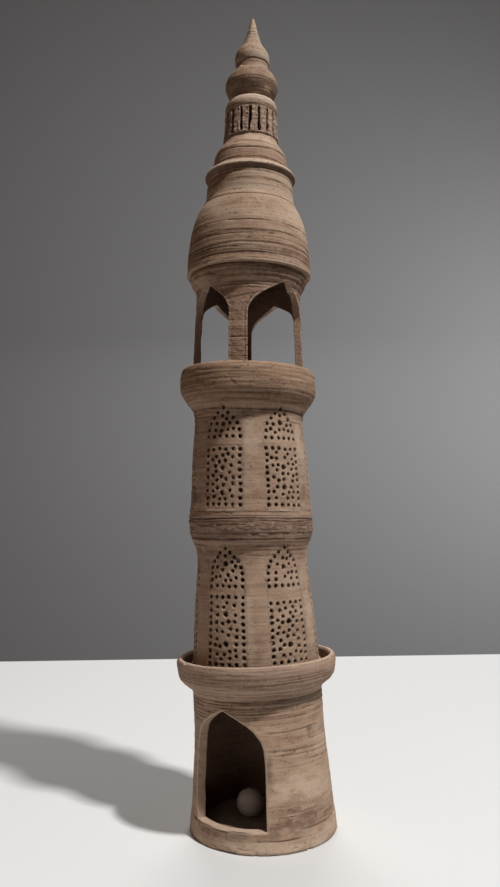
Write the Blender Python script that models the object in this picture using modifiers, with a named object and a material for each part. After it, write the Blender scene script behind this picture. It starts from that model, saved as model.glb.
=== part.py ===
"""A hand-thrown clay lantern in the form of a minaret, 600 mm tall.

The tower is drawn straight, about the Z axis, with heights and radii in millimetres. Azimuths are in
degrees from the front (-Y), positive towards +X. A lattice then gives it the bow of the thrown original.
"""

import math

import bmesh
import bpy
from mathutils import Matrix

MM = 0.001
GAP = 0.3  # between neighbouring pieces

COLUMN = 9.0  # degrees of wall in one facet
RING_STEPS = 40
SPIRE_STEPS = 24

# Heights of the joints between the thrown sections
FLOOR_TOP = 5.0
SILL = 14.0
BASE_TOP = 96.0
LOWER_DECK = 108.0
LOWER_RIM = 119.2
LOWER_TOP = 199.8
BAND_TOP = 218.4
UPPER_TOP = 296.4
UPPER_DECK = 317.2
UPPER_RIM = 324.2
LANTERN_SILL = 322.2
LANTERN_TOP = 379.3
SKIRT_TOP = 396.5
DOME_TOP = 447.3
DRUM_TOP = 467.0
COLLAR_TOP = 475.0
NECK_TOP = 500.0
FLUTES_TOP = 521.0
BEAD_TOP = 531.6
BULB_TOP = 558.8
TIP = 600.0

BASE_THICKNESS = 6.2
STOREY_THICKNESS = 5.0
LANTERN_THICKNESS = 4.8
SCREEN_RECESS = 0.7

# Outer skins of the walls, as (height, radius)
BASE_SKIN = [(SILL, 50.3), (37.6, 48.4), (54.0, 46.9), (70.5, 46.1), (BASE_TOP, 46.2)]
LOWER_SKIN = [
    (LOWER_DECK, 45.9),
    (144.7, 43.6),
    (162.0, 42.1),
    (179.0, 40.2),
    (187.5, 39.7),
    (194.0, 40.5),
    (LOWER_TOP, 42.6),
]
UPPER_SKIN = [
    (BAND_TOP, 44.7),
    (228.0, 43.8),
    (257.0, 42.4),
    (270.0, 41.1),
    (279.0, 40.1),
    (288.0, 39.9),
    (292.5, 40.6),
    (UPPER_TOP, 43.2),
]
LANTERN_SKIN = [(LANTERN_SILL, 40.9), (355.0, 39.5), (LANTERN_TOP, 38.5)]

DOOR_LEFT, DOOR_RIGHT = -65.0, 2.8
DOOR_SPRING, DOOR_SHOULDER, DOOR_APEX = 62.0, 78.2, 89.2
BASE_WALLS = ["front_right", "right", "back", "back_left", "left"]

SCREENS = ["front_left", "front_right", "right", "back_right", "back_left", "left"]
SCREEN_STEP = 60.0
SCREEN_HALF = 19.6
LOWER_SCREEN = {"first": -27.2, "foot": 116.0, "spring": 173.0, "shoulder": 188.0, "apex": 198.7}
UPPER_SCREEN = {"first": -26.5, "foot": 222.3, "spring": 269.5, "shoulder": 284.2, "apex": 295.4}
LOWER_SCREEN_HOLES = [137.5, 155.0, 183.0]
UPPER_SCREEN_HOLES = [238.3, 255.3, 281.3]
HOLE_RADIUS = 2.0
HOLE_SIDES = 8

POSTS = {"front": -9.9, "right": 86.5, "back": 185.5, "left": 273.5}
POST_HALF = 9.6
ARCH_SPRING, ARCH_SHOULDER, ARCH_APEX = 356.0, 373.5, 383.0

FLUTES = 16
FLUTE_WIDTH, FLUTE_DEPTH = 1.7, 2.4

BALL_RADIUS = 10.0
BALL_PLACE = (-9.0, 1.0)

# The bow of the tower at evenly spaced levels: how far its middle stands to +X, and how many degrees
# its cross-section drops on the +X side
BOW_STEP = 50.0
BOW_SHIFT = [0.0, -1.2, -3.2, -4.4, -5.8, -5.9, -6.6, -6.1, -4.8, -3.4, -1.6, -0.2, 1.5]
BOW_TILT = [0.0, -0.9, -1.75, -0.5, 0.85, 1.6, 2.6, 1.9, 1.4, 1.7, 1.7, 1.7, 1.7]
BOW_WIDTH = 130.0

BUFF = (0.47, 0.33, 0.24)
PINK = (0.42, 0.28, 0.21)
BROWN = (0.33, 0.22, 0.16)
PALE = (0.55, 0.52, 0.47)


def clear_scene():
    for obj in list(bpy.data.objects):
        bpy.data.objects.remove(obj, do_unlink=True)


def new_collection(name, hidden=False):
    collection = bpy.data.collections.new(name)
    bpy.context.scene.collection.children.link(collection)
    collection.hide_render = hidden
    return collection


def clay(name, colour, roughness=0.85):
    material = bpy.data.materials.new(name)
    material.use_nodes = True
    shader = material.node_tree.nodes["Principled BSDF"]
    shader.inputs["Base Color"].default_value = (*colour, 1.0)
    shader.inputs["Roughness"].default_value = roughness
    shader.inputs["Metallic"].default_value = 0.0
    return material


def add_piece(name, mesh, colour):
    """A named piece in the tower's collection, with its own material."""
    piece = bpy.data.objects.new(name, mesh)
    mesh.materials.append(clay(name, colour))
    tower.objects.link(piece)
    piece.parent = stand
    return piece


def smooth(mesh):
    mesh.shade_smooth()
    mesh.set_sharp_from_angle(angle=math.radians(35))


def turned(name, profile, colour, steps=RING_STEPS):
    """A turned piece. Its profile of (radius, height) runs down the outer side, and closes unless it
    starts and ends on the axis."""
    count = len(profile)
    on_axis = profile[0][0] == 0.0 and profile[-1][0] == 0.0
    edges = [(i, (i + 1) % count) for i in range(count - 1 if on_axis else count)]
    mesh = bpy.data.meshes.new(name)
    mesh.from_pydata([(r * MM, 0.0, z * MM) for r, z in profile], edges, [])
    piece = add_piece(name, mesh, colour)
    screw = piece.modifiers.new("Turn", "SCREW")
    screw.axis = "Z"
    screw.angle = math.tau
    screw.steps = screw.render_steps = steps
    screw.use_merge_vertices = True
    screw.merge_threshold = 0.00001
    screw.use_smooth_shade = True
    return piece


def skin_radius(skin, z):
    """The outer radius at a height, on straight lines between the skin's points."""
    for (z0, r0), (z1, r1) in zip(skin, skin[1:]):
        if z <= z1:
            return r0 + (r1 - r0) * (z - z0) / (z1 - z0)
    return skin[-1][1]


def pointed_arch(left, right, spring, shoulder, apex, steps=4):
    """The head of a pointed opening from its left springing to its right one, as (azimuth, height):
    each side is a round shoulder and then a straight run to the point."""
    middle, half = (left + right) / 2, (right - left) / 2
    reach = 0.74  # of the half width, where the shoulder ends
    bend = spring + 0.82 * (shoulder - spring)
    curve = []
    for i in range(steps + 1):
        t = i / steps
        side = (1 - t) ** 2 + 2 * t * (1 - t) + t * t * reach
        height = (1 - t) ** 2 * spring + 2 * t * (1 - t) * bend + t * t * shoulder
        curve.append((side, height))
    left_side = [(middle - half * side, height) for side, height in curve]
    right_side = [(middle + half * side, height) for side, height in reversed(curve)]
    return left_side + [(middle, apex)] + right_side


def round_hole(azimuth, height, radius, wall_radius):
    """A round hole drawn on the unrolled wall, as (azimuth, height)."""
    across = math.degrees(radius / wall_radius)
    turns = [math.tau * (i + 0.5) / HOLE_SIDES for i in range(HOLE_SIDES)]
    return [(azimuth + across * math.cos(a), height + radius * math.sin(a)) for a in turns]


def closed_loop(sheet, points, depth):
    corners = [sheet.verts.new((azimuth, depth, height)) for azimuth, height in points]
    return [sheet.edges.new((a, b)) for a, b in zip(corners, corners[1:] + corners[:1])]


def sweep_inwards(sheet, edges, depth):
    """Draws a loop's edges to a new depth, and returns the loop that they end in."""
    swept = bmesh.ops.extrude_edge_only(sheet, edges=edges)["geom"]
    ends = [item for item in swept if isinstance(item, bmesh.types.BMVert)]
    bmesh.ops.translate(sheet, verts=ends, vec=(0, depth, 0))
    inside = set(ends)
    return [
        item
        for item in swept
        if isinstance(item, bmesh.types.BMEdge) and set(item.verts) <= inside
    ]


def fill(sheet, edges):
    bmesh.ops.triangle_fill(sheet, use_beauty=True, edges=edges)


def cut_through(sheet, place, normal):
    everything = sheet.verts[:] + sheet.edges[:] + sheet.faces[:]
    bmesh.ops.bisect_plane(sheet, geom=everything, dist=1e-5, plane_co=place, plane_no=normal)


def on_facet(azimuth):
    """The point at this azimuth on the flat facets between columns, for a radius of one."""
    number, share = divmod(azimuth / COLUMN, 1.0)
    start, end = math.radians(number * COLUMN), math.radians((number + 1) * COLUMN)
    across = (1 - share) * math.sin(start) + share * math.sin(end)
    forward = (1 - share) * math.cos(start) + share * math.cos(end)
    return across, forward


def wall_piece(name, outline, skin, thickness, colour, screen=None, holes=()):
    """A piece of a round wall. It is drawn unrolled, with X the azimuth, Y the depth below the skin
    and Z the height, cut where the wall's facets meet, and then wrapped round the axis."""
    sheet = bmesh.new()
    outer = closed_loop(sheet, outline, 0.0)
    inner = sweep_inwards(sheet, outer, thickness)
    if screen:
        screen_edge = closed_loop(sheet, screen, 0.0)
        screen_floor = sweep_inwards(sheet, screen_edge, SCREEN_RECESS)
        mouths = [closed_loop(sheet, hole, SCREEN_RECESS) for hole in holes]
        backs = [sweep_inwards(sheet, mouth, thickness - SCREEN_RECESS) for mouth in mouths]
        fill(sheet, outer + screen_edge)
        fill(sheet, screen_floor + sum(mouths, []))
        fill(sheet, inner + sum(backs, []))
    else:
        fill(sheet, outer)
        fill(sheet, inner)

    azimuths = [azimuth for azimuth, _ in outline]
    column = math.floor(min(azimuths) / COLUMN) + 1
    while column * COLUMN < max(azimuths):
        cut_through(sheet, (column * COLUMN, 0, 0), (1, 0, 0))
        column += 1
    for height, _ in skin[1:-1]:
        cut_through(sheet, (0, 0, height), (0, 0, 1))

    for vert in sheet.verts:
        across, forward = on_facet(vert.co.x)
        reach = (skin_radius(skin, vert.co.z) - vert.co.y) * MM
        vert.co = (reach * across, -reach * forward, vert.co.z * MM)
    bmesh.ops.remove_doubles(sheet, verts=sheet.verts, dist=1e-6)
    bmesh.ops.dissolve_limit(sheet, angle_limit=math.radians(0.3), verts=sheet.verts, edges=sheet.edges)
    bmesh.ops.recalc_face_normals(sheet, faces=sheet.faces)
    mesh = bpy.data.meshes.new(name)
    sheet.to_mesh(mesh)
    sheet.free()
    smooth(mesh)
    return add_piece(name, mesh, colour)


def seam(radius):
    """Half a gap, as degrees of a wall of this radius."""
    return math.degrees(GAP / 2 / radius)


def base_storey():
    turned(
        "base_floor",
        [(0.0, FLOOR_TOP), (44.9, FLOOR_TOP), (44.9, 0.0), (0.0, 0.0)],
        PINK,
    )
    turned(
        "base_foot",
        [
            (49.6, SILL - GAP),
            (50.8, SILL - 1.5),
            (51.2, 7.5),
            (51.9, 1.2),
            (51.2, 0.0),
            (45.2, 0.0),
            (45.2, 7.5),
            (44.3, SILL - GAP),
        ],
        BUFF,
    )
    joint = seam(46.0)
    span = (360.0 - (DOOR_RIGHT - DOOR_LEFT)) / len(BASE_WALLS)
    for number, place in enumerate(BASE_WALLS):
        left = DOOR_RIGHT + number * span + joint
        right = DOOR_RIGHT + (number + 1) * span - joint
        outline = [(left, SILL), (right, SILL), (right, BASE_TOP), (left, BASE_TOP)]
        wall_piece("base_wall_" + place, outline, BASE_SKIN, BASE_THICKNESS, BUFF)
    left, right = DOOR_LEFT + joint, DOOR_RIGHT - joint
    arch = pointed_arch(left, right, DOOR_SPRING, DOOR_SHOULDER, DOOR_APEX, steps=5)
    outline = arch + [(right, BASE_TOP), (left, BASE_TOP)]
    wall_piece("door_arch", outline, BASE_SKIN, BASE_THICKNESS, BUFF)


def lower_gallery():
    turned(
        "lower_gallery_deck",
        [
            (56.1, LOWER_DECK),
            (55.3, 105.6),
            (53.0, 102.7),
            (49.3, 99.8),
            (46.7, 97.8),
            (46.3, BASE_TOP + GAP),
            (40.0, BASE_TOP + GAP),
            (40.0, LOWER_DECK),
        ],
        PINK,
    )
    turned(
        "lower_gallery_parapet",
        [
            (55.4, LOWER_RIM),
            (56.6, 118.1),
            (57.0, 114.5),
            (56.5, 110.0),
            (56.2, LOWER_DECK + GAP),
            (52.2, LOWER_DECK + GAP),
            (52.5, 118.0),
            (53.3, LOWER_RIM),
        ],
        BUFF,
    )


def pierced_storey(storey, skin, screen, hole_heights, colour):
    """Six wall pieces, each with a sunk pointed screen and its larger holes."""
    foot, top = skin[0][0] + GAP, skin[-1][0]
    joint = seam(42.0)
    for number, place in enumerate(SCREENS):
        middle = screen["first"] + number * SCREEN_STEP
        left, right = middle - SCREEN_STEP / 2 + joint, middle + SCREEN_STEP / 2 - joint
        outline = [(left, foot), (right, foot), (right, top), (left, top)]
        screen_left, screen_right = middle - SCREEN_HALF, middle + SCREEN_HALF
        head = pointed_arch(
            screen_left, screen_right, screen["spring"], screen["shoulder"], screen["apex"], steps=3
        )
        sunk = [(screen_right, screen["foot"]), (screen_left, screen["foot"])] + head
        holes = [
            round_hole(middle, height, HOLE_RADIUS, skin_radius(skin, height))
            for height in hole_heights
        ]
        wall_piece(
            f"{storey}_wall_{place}", outline, skin, STOREY_THICKNESS, colour, screen=sunk, holes=holes
        )


def middle_band():
    turned(
        "middle_band",
        [
            (44.9, BAND_TOP),
            (45.3, 216.0),
            (45.1, 209.0),
            (44.3, 204.7),
            (42.9, LOWER_TOP + GAP),
            (37.9, LOWER_TOP + GAP),
            (39.8, 207.0),
            (39.8, BAND_TOP),
        ],
        BROWN,
    )


def upper_gallery():
    turned(
        "upper_gallery_deck",
        [
            (49.7, UPPER_DECK),
            (50.0, 312.5),
            (49.3, 305.6),
            (46.8, 301.2),
            (43.4, UPPER_TOP + GAP),
            (38.3, UPPER_TOP + GAP),
            (36.5, 305.0),
            (36.5, UPPER_DECK),
        ],
        PINK,
    )
    turned(
        "upper_gallery_parapet",
        [
            (46.4, UPPER_RIM),
            (48.5, 322.6),
            (49.5, 319.8),
            (49.7, UPPER_DECK + GAP),
            (45.0, UPPER_DECK + GAP),
            (45.1, 323.6),
        ],
        PINK,
    )


def lantern():
    turned(
        "lantern_sill",
        [
            (40.9, LANTERN_SILL - GAP),
            (41.2, UPPER_DECK + GAP),
            (36.3, UPPER_DECK + GAP),
            (36.1, LANTERN_SILL - GAP),
        ],
        PINK,
    )
    places = list(POSTS.items())
    for number, (place, middle) in enumerate(places):
        before = places[number - 1][1] - (360.0 if number == 0 else 0.0)
        after = places[(number + 1) % len(places)][1]
        after += 360.0 if after < middle else 0.0
        left_arch = pointed_arch(
            before + POST_HALF, middle - POST_HALF, ARCH_SPRING, ARCH_SHOULDER, ARCH_APEX
        )
        right_arch = pointed_arch(
            middle + POST_HALF, after - POST_HALF, ARCH_SPRING, ARCH_SHOULDER, ARCH_APEX
        )
        left_side = below_top(left_arch[len(left_arch) // 2 :])
        right_side = below_top(right_arch[: len(right_arch) // 2 + 1])
        foot = [(middle - POST_HALF, LANTERN_SILL), (middle + POST_HALF, LANTERN_SILL)]
        outline = left_side + foot + right_side
        wall_piece("lantern_post_" + place, outline, LANTERN_SKIN, LANTERN_THICKNESS, PINK)


def below_top(side):
    """One side of an arch, cut off where it passes the top of the lantern's wall."""
    kept = []
    for (a0, z0), (a1, z1) in zip(side, side[1:]):
        low, high = min(z0, z1), max(z0, z1)
        if z0 <= LANTERN_TOP:
            kept.append((a0, z0))
        if low < LANTERN_TOP < high:
            share = (LANTERN_TOP - z0) / (z1 - z0)
            kept.append((a0 + share * (a1 - a0), LANTERN_TOP))
    if side[-1][1] <= LANTERN_TOP:
        kept.append(side[-1])
    return kept


def dome():
    turned(
        "dome_skirt",
        [
            (45.0, SKIRT_TOP),
            (46.2, 395.6),
            (46.2, 394.0),
            (45.1, 391.4),
            (42.4, 387.0),
            (39.3, 382.6),
            (38.6, LANTERN_TOP + GAP),
            (33.8, LANTERN_TOP + GAP),
            (35.0, 384.0),
            (39.9, 391.6),
            (39.9, SKIRT_TOP),
        ],
        PINK,
    )
    turned(
        "dome_shell",
        [
            (34.9, DOME_TOP),
            (37.3, 443.6),
            (40.1, 437.4),
            (42.9, 428.0),
            (44.5, 418.5),
            (45.5, 409.0),
            (45.8, 403.5),
            (45.3, SKIRT_TOP + GAP),
            (40.2, SKIRT_TOP + GAP),
            (40.4, 409.0),
            (37.6, 427.0),
            (34.4, 437.0),
            (29.7, DOME_TOP),
        ],
        BUFF,
    )
    turned(
        "dome_drum",
        [
            (32.0, DRUM_TOP),
            (32.4, 461.8),
            (32.8, 456.7),
            (33.5, 450.6),
            (34.7, DOME_TOP + GAP),
            (29.5, DOME_TOP + GAP),
            (27.6, 454.0),
            (27.4, DRUM_TOP),
        ],
        PINK,
    )
    turned(
        "collar_disc",
        [
            (30.0, COLLAR_TOP),
            (32.9, 473.3),
            (34.0, 470.8),
            (33.5, 468.5),
            (31.9, DRUM_TOP + GAP),
            (26.0, DRUM_TOP + GAP),
            (25.0, COLLAR_TOP),
        ],
        BROWN,
    )


def spire():
    turned(
        "neck_bell",
        [
            (19.7, NECK_TOP),
            (20.6, 497.4),
            (22.4, 494.2),
            (24.9, 490.7),
            (26.6, 487.4),
            (27.6, 482.5),
            (28.2, 478.0),
            (29.4, COLLAR_TOP + GAP),
            (24.6, COLLAR_TOP + GAP),
            (22.6, 484.0),
            (17.0, 494.0),
            (14.8, NECK_TOP),
        ],
        BUFF,
        SPIRE_STEPS,
    )
    fluted_band()
    turned(
        "bead_ring",
        [
            (0.0, BEAD_TOP),
            (15.9, BEAD_TOP),
            (17.9, 530.2),
            (19.5, 527.2),
            (19.9, 524.0),
            (19.4, FLUTES_TOP + GAP),
            (0.0, FLUTES_TOP + GAP),
        ],
        PINK,
        SPIRE_STEPS,
    )
    turned(
        "bulb",
        [
            (0.0, BULB_TOP),
            (14.4, BULB_TOP),
            (17.0, 555.6),
            (18.8, 551.8),
            (19.9, 547.4),
            (20.2, 543.6),
            (19.0, 539.6),
            (17.3, 536.1),
            (15.8, 533.2),
            (15.6, BEAD_TOP + GAP),
            (0.0, BEAD_TOP + GAP),
        ],
        BUFF,
        SPIRE_STEPS,
    )
    turned(
        "finial",
        [
            (0.0, TIP),
            (0.9, TIP - 0.8),
            (2.0, 594.0),
            (4.0, 587.5),
            (6.4, 580.5),
            (9.0, 574.8),
            (11.5, 570.2),
            (13.1, 566.0),
            (13.1, 563.8),
            (11.8, 562.2),
            (11.8, BULB_TOP + GAP),
            (0.0, BULB_TOP + GAP),
        ],
        BUFF,
        SPIRE_STEPS,
    )


def fluted_band():
    """The band under the bead ring, with knife-cut grooves all round."""
    foot_radius, head_radius = 20.9, 19.2
    band = turned(
        "fluted_band",
        [
            (head_radius, FLUTES_TOP),
            (foot_radius, NECK_TOP + GAP),
            (14.6, NECK_TOP + GAP),
            (14.6, FLUTES_TOP),
        ],
        BROWN,
        FLUTES * 2,
    )
    grooves = bmesh.new()
    low, high = NECK_TOP + 1.7, FLUTES_TOP - 1.0
    middle_radius = (foot_radius + head_radius) / 2
    for number in range(FLUTES):
        made = bmesh.ops.create_cube(grooves, size=1.0)["verts"]
        bmesh.ops.scale(
            grooves, vec=(FLUTE_WIDTH * MM, FLUTE_DEPTH * 2 * MM, (high - low) * MM), verts=made
        )
        bmesh.ops.translate(
            grooves, vec=(0, -middle_radius * MM, (low + high) / 2 * MM), verts=made
        )
        turn = math.tau * (number + 0.25) / FLUTES
        spin = Matrix.Rotation(turn, 3, "Z")
        bmesh.ops.rotate(grooves, cent=(0, 0, 0), matrix=spin, verts=made)
    mesh = bpy.data.meshes.new("flute_cutter")
    grooves.to_mesh(mesh)
    grooves.free()
    cutter = bpy.data.objects.new("flute_cutter", mesh)
    cutter.hide_render = True
    cutter.display_type = "WIRE"
    helpers.objects.link(cutter)
    cut = band.modifiers.new("Flutes", "BOOLEAN")
    cut.operation = "DIFFERENCE"
    cut.solver = "EXACT"
    cut.object = cutter


def loose_ball():
    """The stone ball that lies on the floor behind the doorway."""
    x, y = BALL_PLACE
    ball = bmesh.new()
    bmesh.ops.create_uvsphere(ball, u_segments=20, v_segments=12, radius=BALL_RADIUS * MM)
    mesh = bpy.data.meshes.new("ball")
    ball.to_mesh(mesh)
    ball.free()
    smooth(mesh)
    piece = add_piece("ball", mesh, PALE)
    piece.location = (x * MM, y * MM, (FLOOR_TOP + GAP + BALL_RADIUS) * MM)


def bow_tower():
    """Bends every piece but the ball with one lattice, whose lowest level stays flat on the ground."""
    levels = len(BOW_SHIFT)
    cage_data = bpy.data.lattices.new("bow")
    cage_data.points_u = cage_data.points_v = 2
    cage_data.points_w = levels
    for axis in "uvw":
        setattr(cage_data, f"interpolation_type_{axis}", "KEY_LINEAR")
    cage = bpy.data.objects.new("bow", cage_data)
    cage.scale = (BOW_WIDTH * MM, BOW_WIDTH * MM, BOW_STEP * MM)
    cage.location = (0, 0, BOW_STEP * (levels - 1) / 2 * MM)
    cage.hide_render = True
    helpers.objects.link(cage)
    for number, point in enumerate(cage_data.points):
        level = number // 4
        drop = math.radians(BOW_TILT[level])
        side = point.co.x * BOW_WIDTH
        shift_x = BOW_SHIFT[level] + side * (math.cos(drop) - 1)
        shift_z = -side * math.sin(drop)
        point.co_deform = (
            point.co.x + shift_x / BOW_WIDTH,
            point.co.y,
            point.co.z + shift_z / BOW_STEP,
        )
    for piece in tower.objects:
        if piece.type == "MESH" and piece.name != "ball":
            piece.modifiers.new("Bow", "LATTICE").object = cage


clear_scene()
tower = new_collection("Minaret")
helpers = new_collection("Helpers", hidden=True)
stand = bpy.data.objects.new("minaret", None)
tower.objects.link(stand)

base_storey()
lower_gallery()
pierced_storey("lower", LOWER_SKIN, LOWER_SCREEN, LOWER_SCREEN_HOLES, PINK)
middle_band()
pierced_storey("upper", UPPER_SKIN, UPPER_SCREEN, UPPER_SCREEN_HOLES, PINK)
upper_gallery()
lantern()
dome()
spire()
loose_ball()
bow_tower()
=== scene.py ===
"""The clay minaret lantern in full detail: thrown sections with their lines, ridges, chips and pierced
holes, fired-clay materials, a pale floor, soft light and the camera.

Like the solids, each section is drawn straight about the Z axis in millimetres, with azimuths in degrees
from the front (-Y) towards +X, and then follows the bow of the tower.
"""

import math

import bpy
import numpy as np
from mathutils import Matrix, Vector, kdtree
from mathutils.geometry import delaunay_2d_cdt


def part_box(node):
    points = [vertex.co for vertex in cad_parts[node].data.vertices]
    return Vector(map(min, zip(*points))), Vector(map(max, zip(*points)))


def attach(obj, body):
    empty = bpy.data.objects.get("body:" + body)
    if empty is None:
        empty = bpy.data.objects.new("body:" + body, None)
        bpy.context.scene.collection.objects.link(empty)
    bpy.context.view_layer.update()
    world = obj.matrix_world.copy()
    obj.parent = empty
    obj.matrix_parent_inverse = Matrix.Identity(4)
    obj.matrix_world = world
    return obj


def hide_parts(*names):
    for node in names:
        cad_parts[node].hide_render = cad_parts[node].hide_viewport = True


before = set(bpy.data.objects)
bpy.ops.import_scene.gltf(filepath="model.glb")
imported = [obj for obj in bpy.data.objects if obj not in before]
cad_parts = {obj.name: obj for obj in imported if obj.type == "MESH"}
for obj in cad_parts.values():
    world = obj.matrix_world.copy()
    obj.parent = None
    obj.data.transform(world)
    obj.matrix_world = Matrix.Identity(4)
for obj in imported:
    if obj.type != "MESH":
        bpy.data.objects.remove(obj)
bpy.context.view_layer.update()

MM = 0.001

# The bow of the tower every 50 mm, as in the solids
BOW_STEP = 50.0
BOW_SHIFT = [0.0, -1.2, -3.2, -4.4, -5.8, -5.9, -6.6, -6.1, -4.8, -3.4, -1.6, -0.2, 1.5]
BOW_TILT = [0.0, -0.9, -1.75, -0.5, 0.85, 1.6, 2.6, 1.9, 1.4, 1.7, 1.7, 1.7, 1.7]

# Heights of the sections
SILL = 14.0
BASE_TOP = 96.0
LOWER_DECK = 108.0
LOWER_RIM = 119.2
LOWER_TOP = 199.8
BAND_TOP = 218.4
UPPER_TOP = 296.4
UPPER_DECK = 317.2
UPPER_RIM = 324.2
LANTERN_SILL = 322.2
LANTERN_TOP = 379.3
SKIRT_TOP = 396.5
DOME_TOP = 447.3
DRUM_TOP = 467.0
COLLAR_TOP = 475.0
NECK_TOP = 500.0
FLUTES_TOP = 521.0
BEAD_TOP = 531.6
BULB_TOP = 558.8
TIP = 600.0
GAP = 0.3

BASE_SKIN = [
    (0.0, 51.2), (1.2, 51.9), (7.5, 51.3), (12.3, 50.8), (SILL, 50.3), (37.6, 48.4),
    (54.0, 46.9), (70.5, 46.1), (BASE_TOP, 46.2),
]
LOWER_SKIN = [
    (LOWER_DECK, 45.9), (144.7, 43.6), (162.0, 42.1), (179.0, 40.2), (187.5, 39.7), (194.0, 40.5),
    (LOWER_TOP, 42.6),
]
UPPER_SKIN = [
    (BAND_TOP, 44.7), (228.0, 43.8), (257.0, 42.4), (270.0, 41.1), (279.0, 40.1), (288.0, 39.9),
    (292.5, 40.6), (UPPER_TOP, 43.2),
]
LANTERN_SKIN = [(LANTERN_SILL, 40.9), (355.0, 39.5), (LANTERN_TOP, 38.5)]

# The doorway as it was cut by hand, anticlockwise from its lower left corner, as (azimuth, height)
DOOR = [
    (-62.6, 14.2), (-30.0, 13.6), (2.4, 13.9), (3.0, 35.0), (3.5, 53.0), (2.8, 63.5), (0.7, 69.3), (-5.0, 75.6),
    (-11.0, 79.9), (-22.5, 85.2), (-31.6, 89.0), (-40.5, 85.9), (-51.0, 81.2), (-58.5, 76.6), (-63.2, 70.0),
    (-66.2, 60.0), (-66.8, 47.0), (-66.2, 33.0), (-64.2, 21.0),
]
SCREEN_STEP = 60.0
SCREEN_HALF = 19.6
LOWER_SCREEN = {"first": -27.2, "foot": 116.0, "spring": 173.0, "shoulder": 188.0, "apex": 198.7}
UPPER_SCREEN = {"first": -26.5, "foot": 222.3, "spring": 269.5, "shoulder": 284.2, "apex": 295.4}
POSTS = {"front": -9.9, "right": 86.5, "back": 185.5, "left": 273.5}
POST_HALF = 9.6
ARCH_SPRING = 360.5
# One side of an arch head, as (share of its half width, share of its rise)
ARCH_CURVE = [(1.0, 0.0), (0.985, 0.13), (0.94, 0.24), (0.83, 0.42), (0.63, 0.6), (0.36, 0.78), (0.0, 1.0)]
# Where the arch to the right of each post comes to its point, as (azimuth, height)
ARCH_PEAKS = {"front": (45.0, 385.8), "right": (144.0, 381.4), "back": (226.0, 381.0), "left": (309.0, 384.0)}


# Shapes

def bow(points):
    """Moves points in mm, drawn about the straight axis, to where the bow of the tower takes them."""
    levels = np.arange(len(BOW_SHIFT)) * BOW_STEP
    x, y, z = points[:, 0], points[:, 1], points[:, 2]
    shift = np.interp(z, levels, BOW_SHIFT)
    drop = np.radians(np.interp(z, levels, BOW_TILT))
    return np.column_stack([x * np.cos(drop) + shift, y, z - x * np.sin(drop)])


def on_tower(azimuth, radius, height):
    turn = np.radians(azimuth)
    return np.column_stack([radius * np.sin(turn), -radius * np.cos(turn), height])


def noise(seed, azimuth, height, cells, tall):
    """Smooth noise from -1 to 1 over the unrolled wall, in cells round the tower that are so tall."""
    rows = int(680.0 / tall) + 4
    grid = np.random.default_rng(seed).uniform(-1.0, 1.0, (rows, cells))
    across = np.mod(azimuth / 360.0, 1.0) * cells
    up = (height + 30.0) / tall
    i, j = np.floor(across).astype(int), np.floor(up).astype(int)
    s, t = across - i, up - j
    s, t = s * s * (3 - 2 * s), t * t * (3 - 2 * t)
    i, after = i % cells, (i + 1) % cells
    j = np.clip(j, 0, rows - 2)
    low = grid[j, i] * (1 - s) + grid[j, after] * s
    high = grid[j + 1, i] * (1 - s) + grid[j + 1, after] * s
    return low * (1 - t) + high * t


def ramp(value, start, end):
    t = np.clip((value - start) / (end - start), 0.0, 1.0)
    return t * t * (3 - 2 * t)


def turn_from(azimuth, middle):
    """Degrees from a middle azimuth, between -180 and 180."""
    return np.mod(azimuth - middle + 180.0, 360.0) - 180.0


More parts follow.
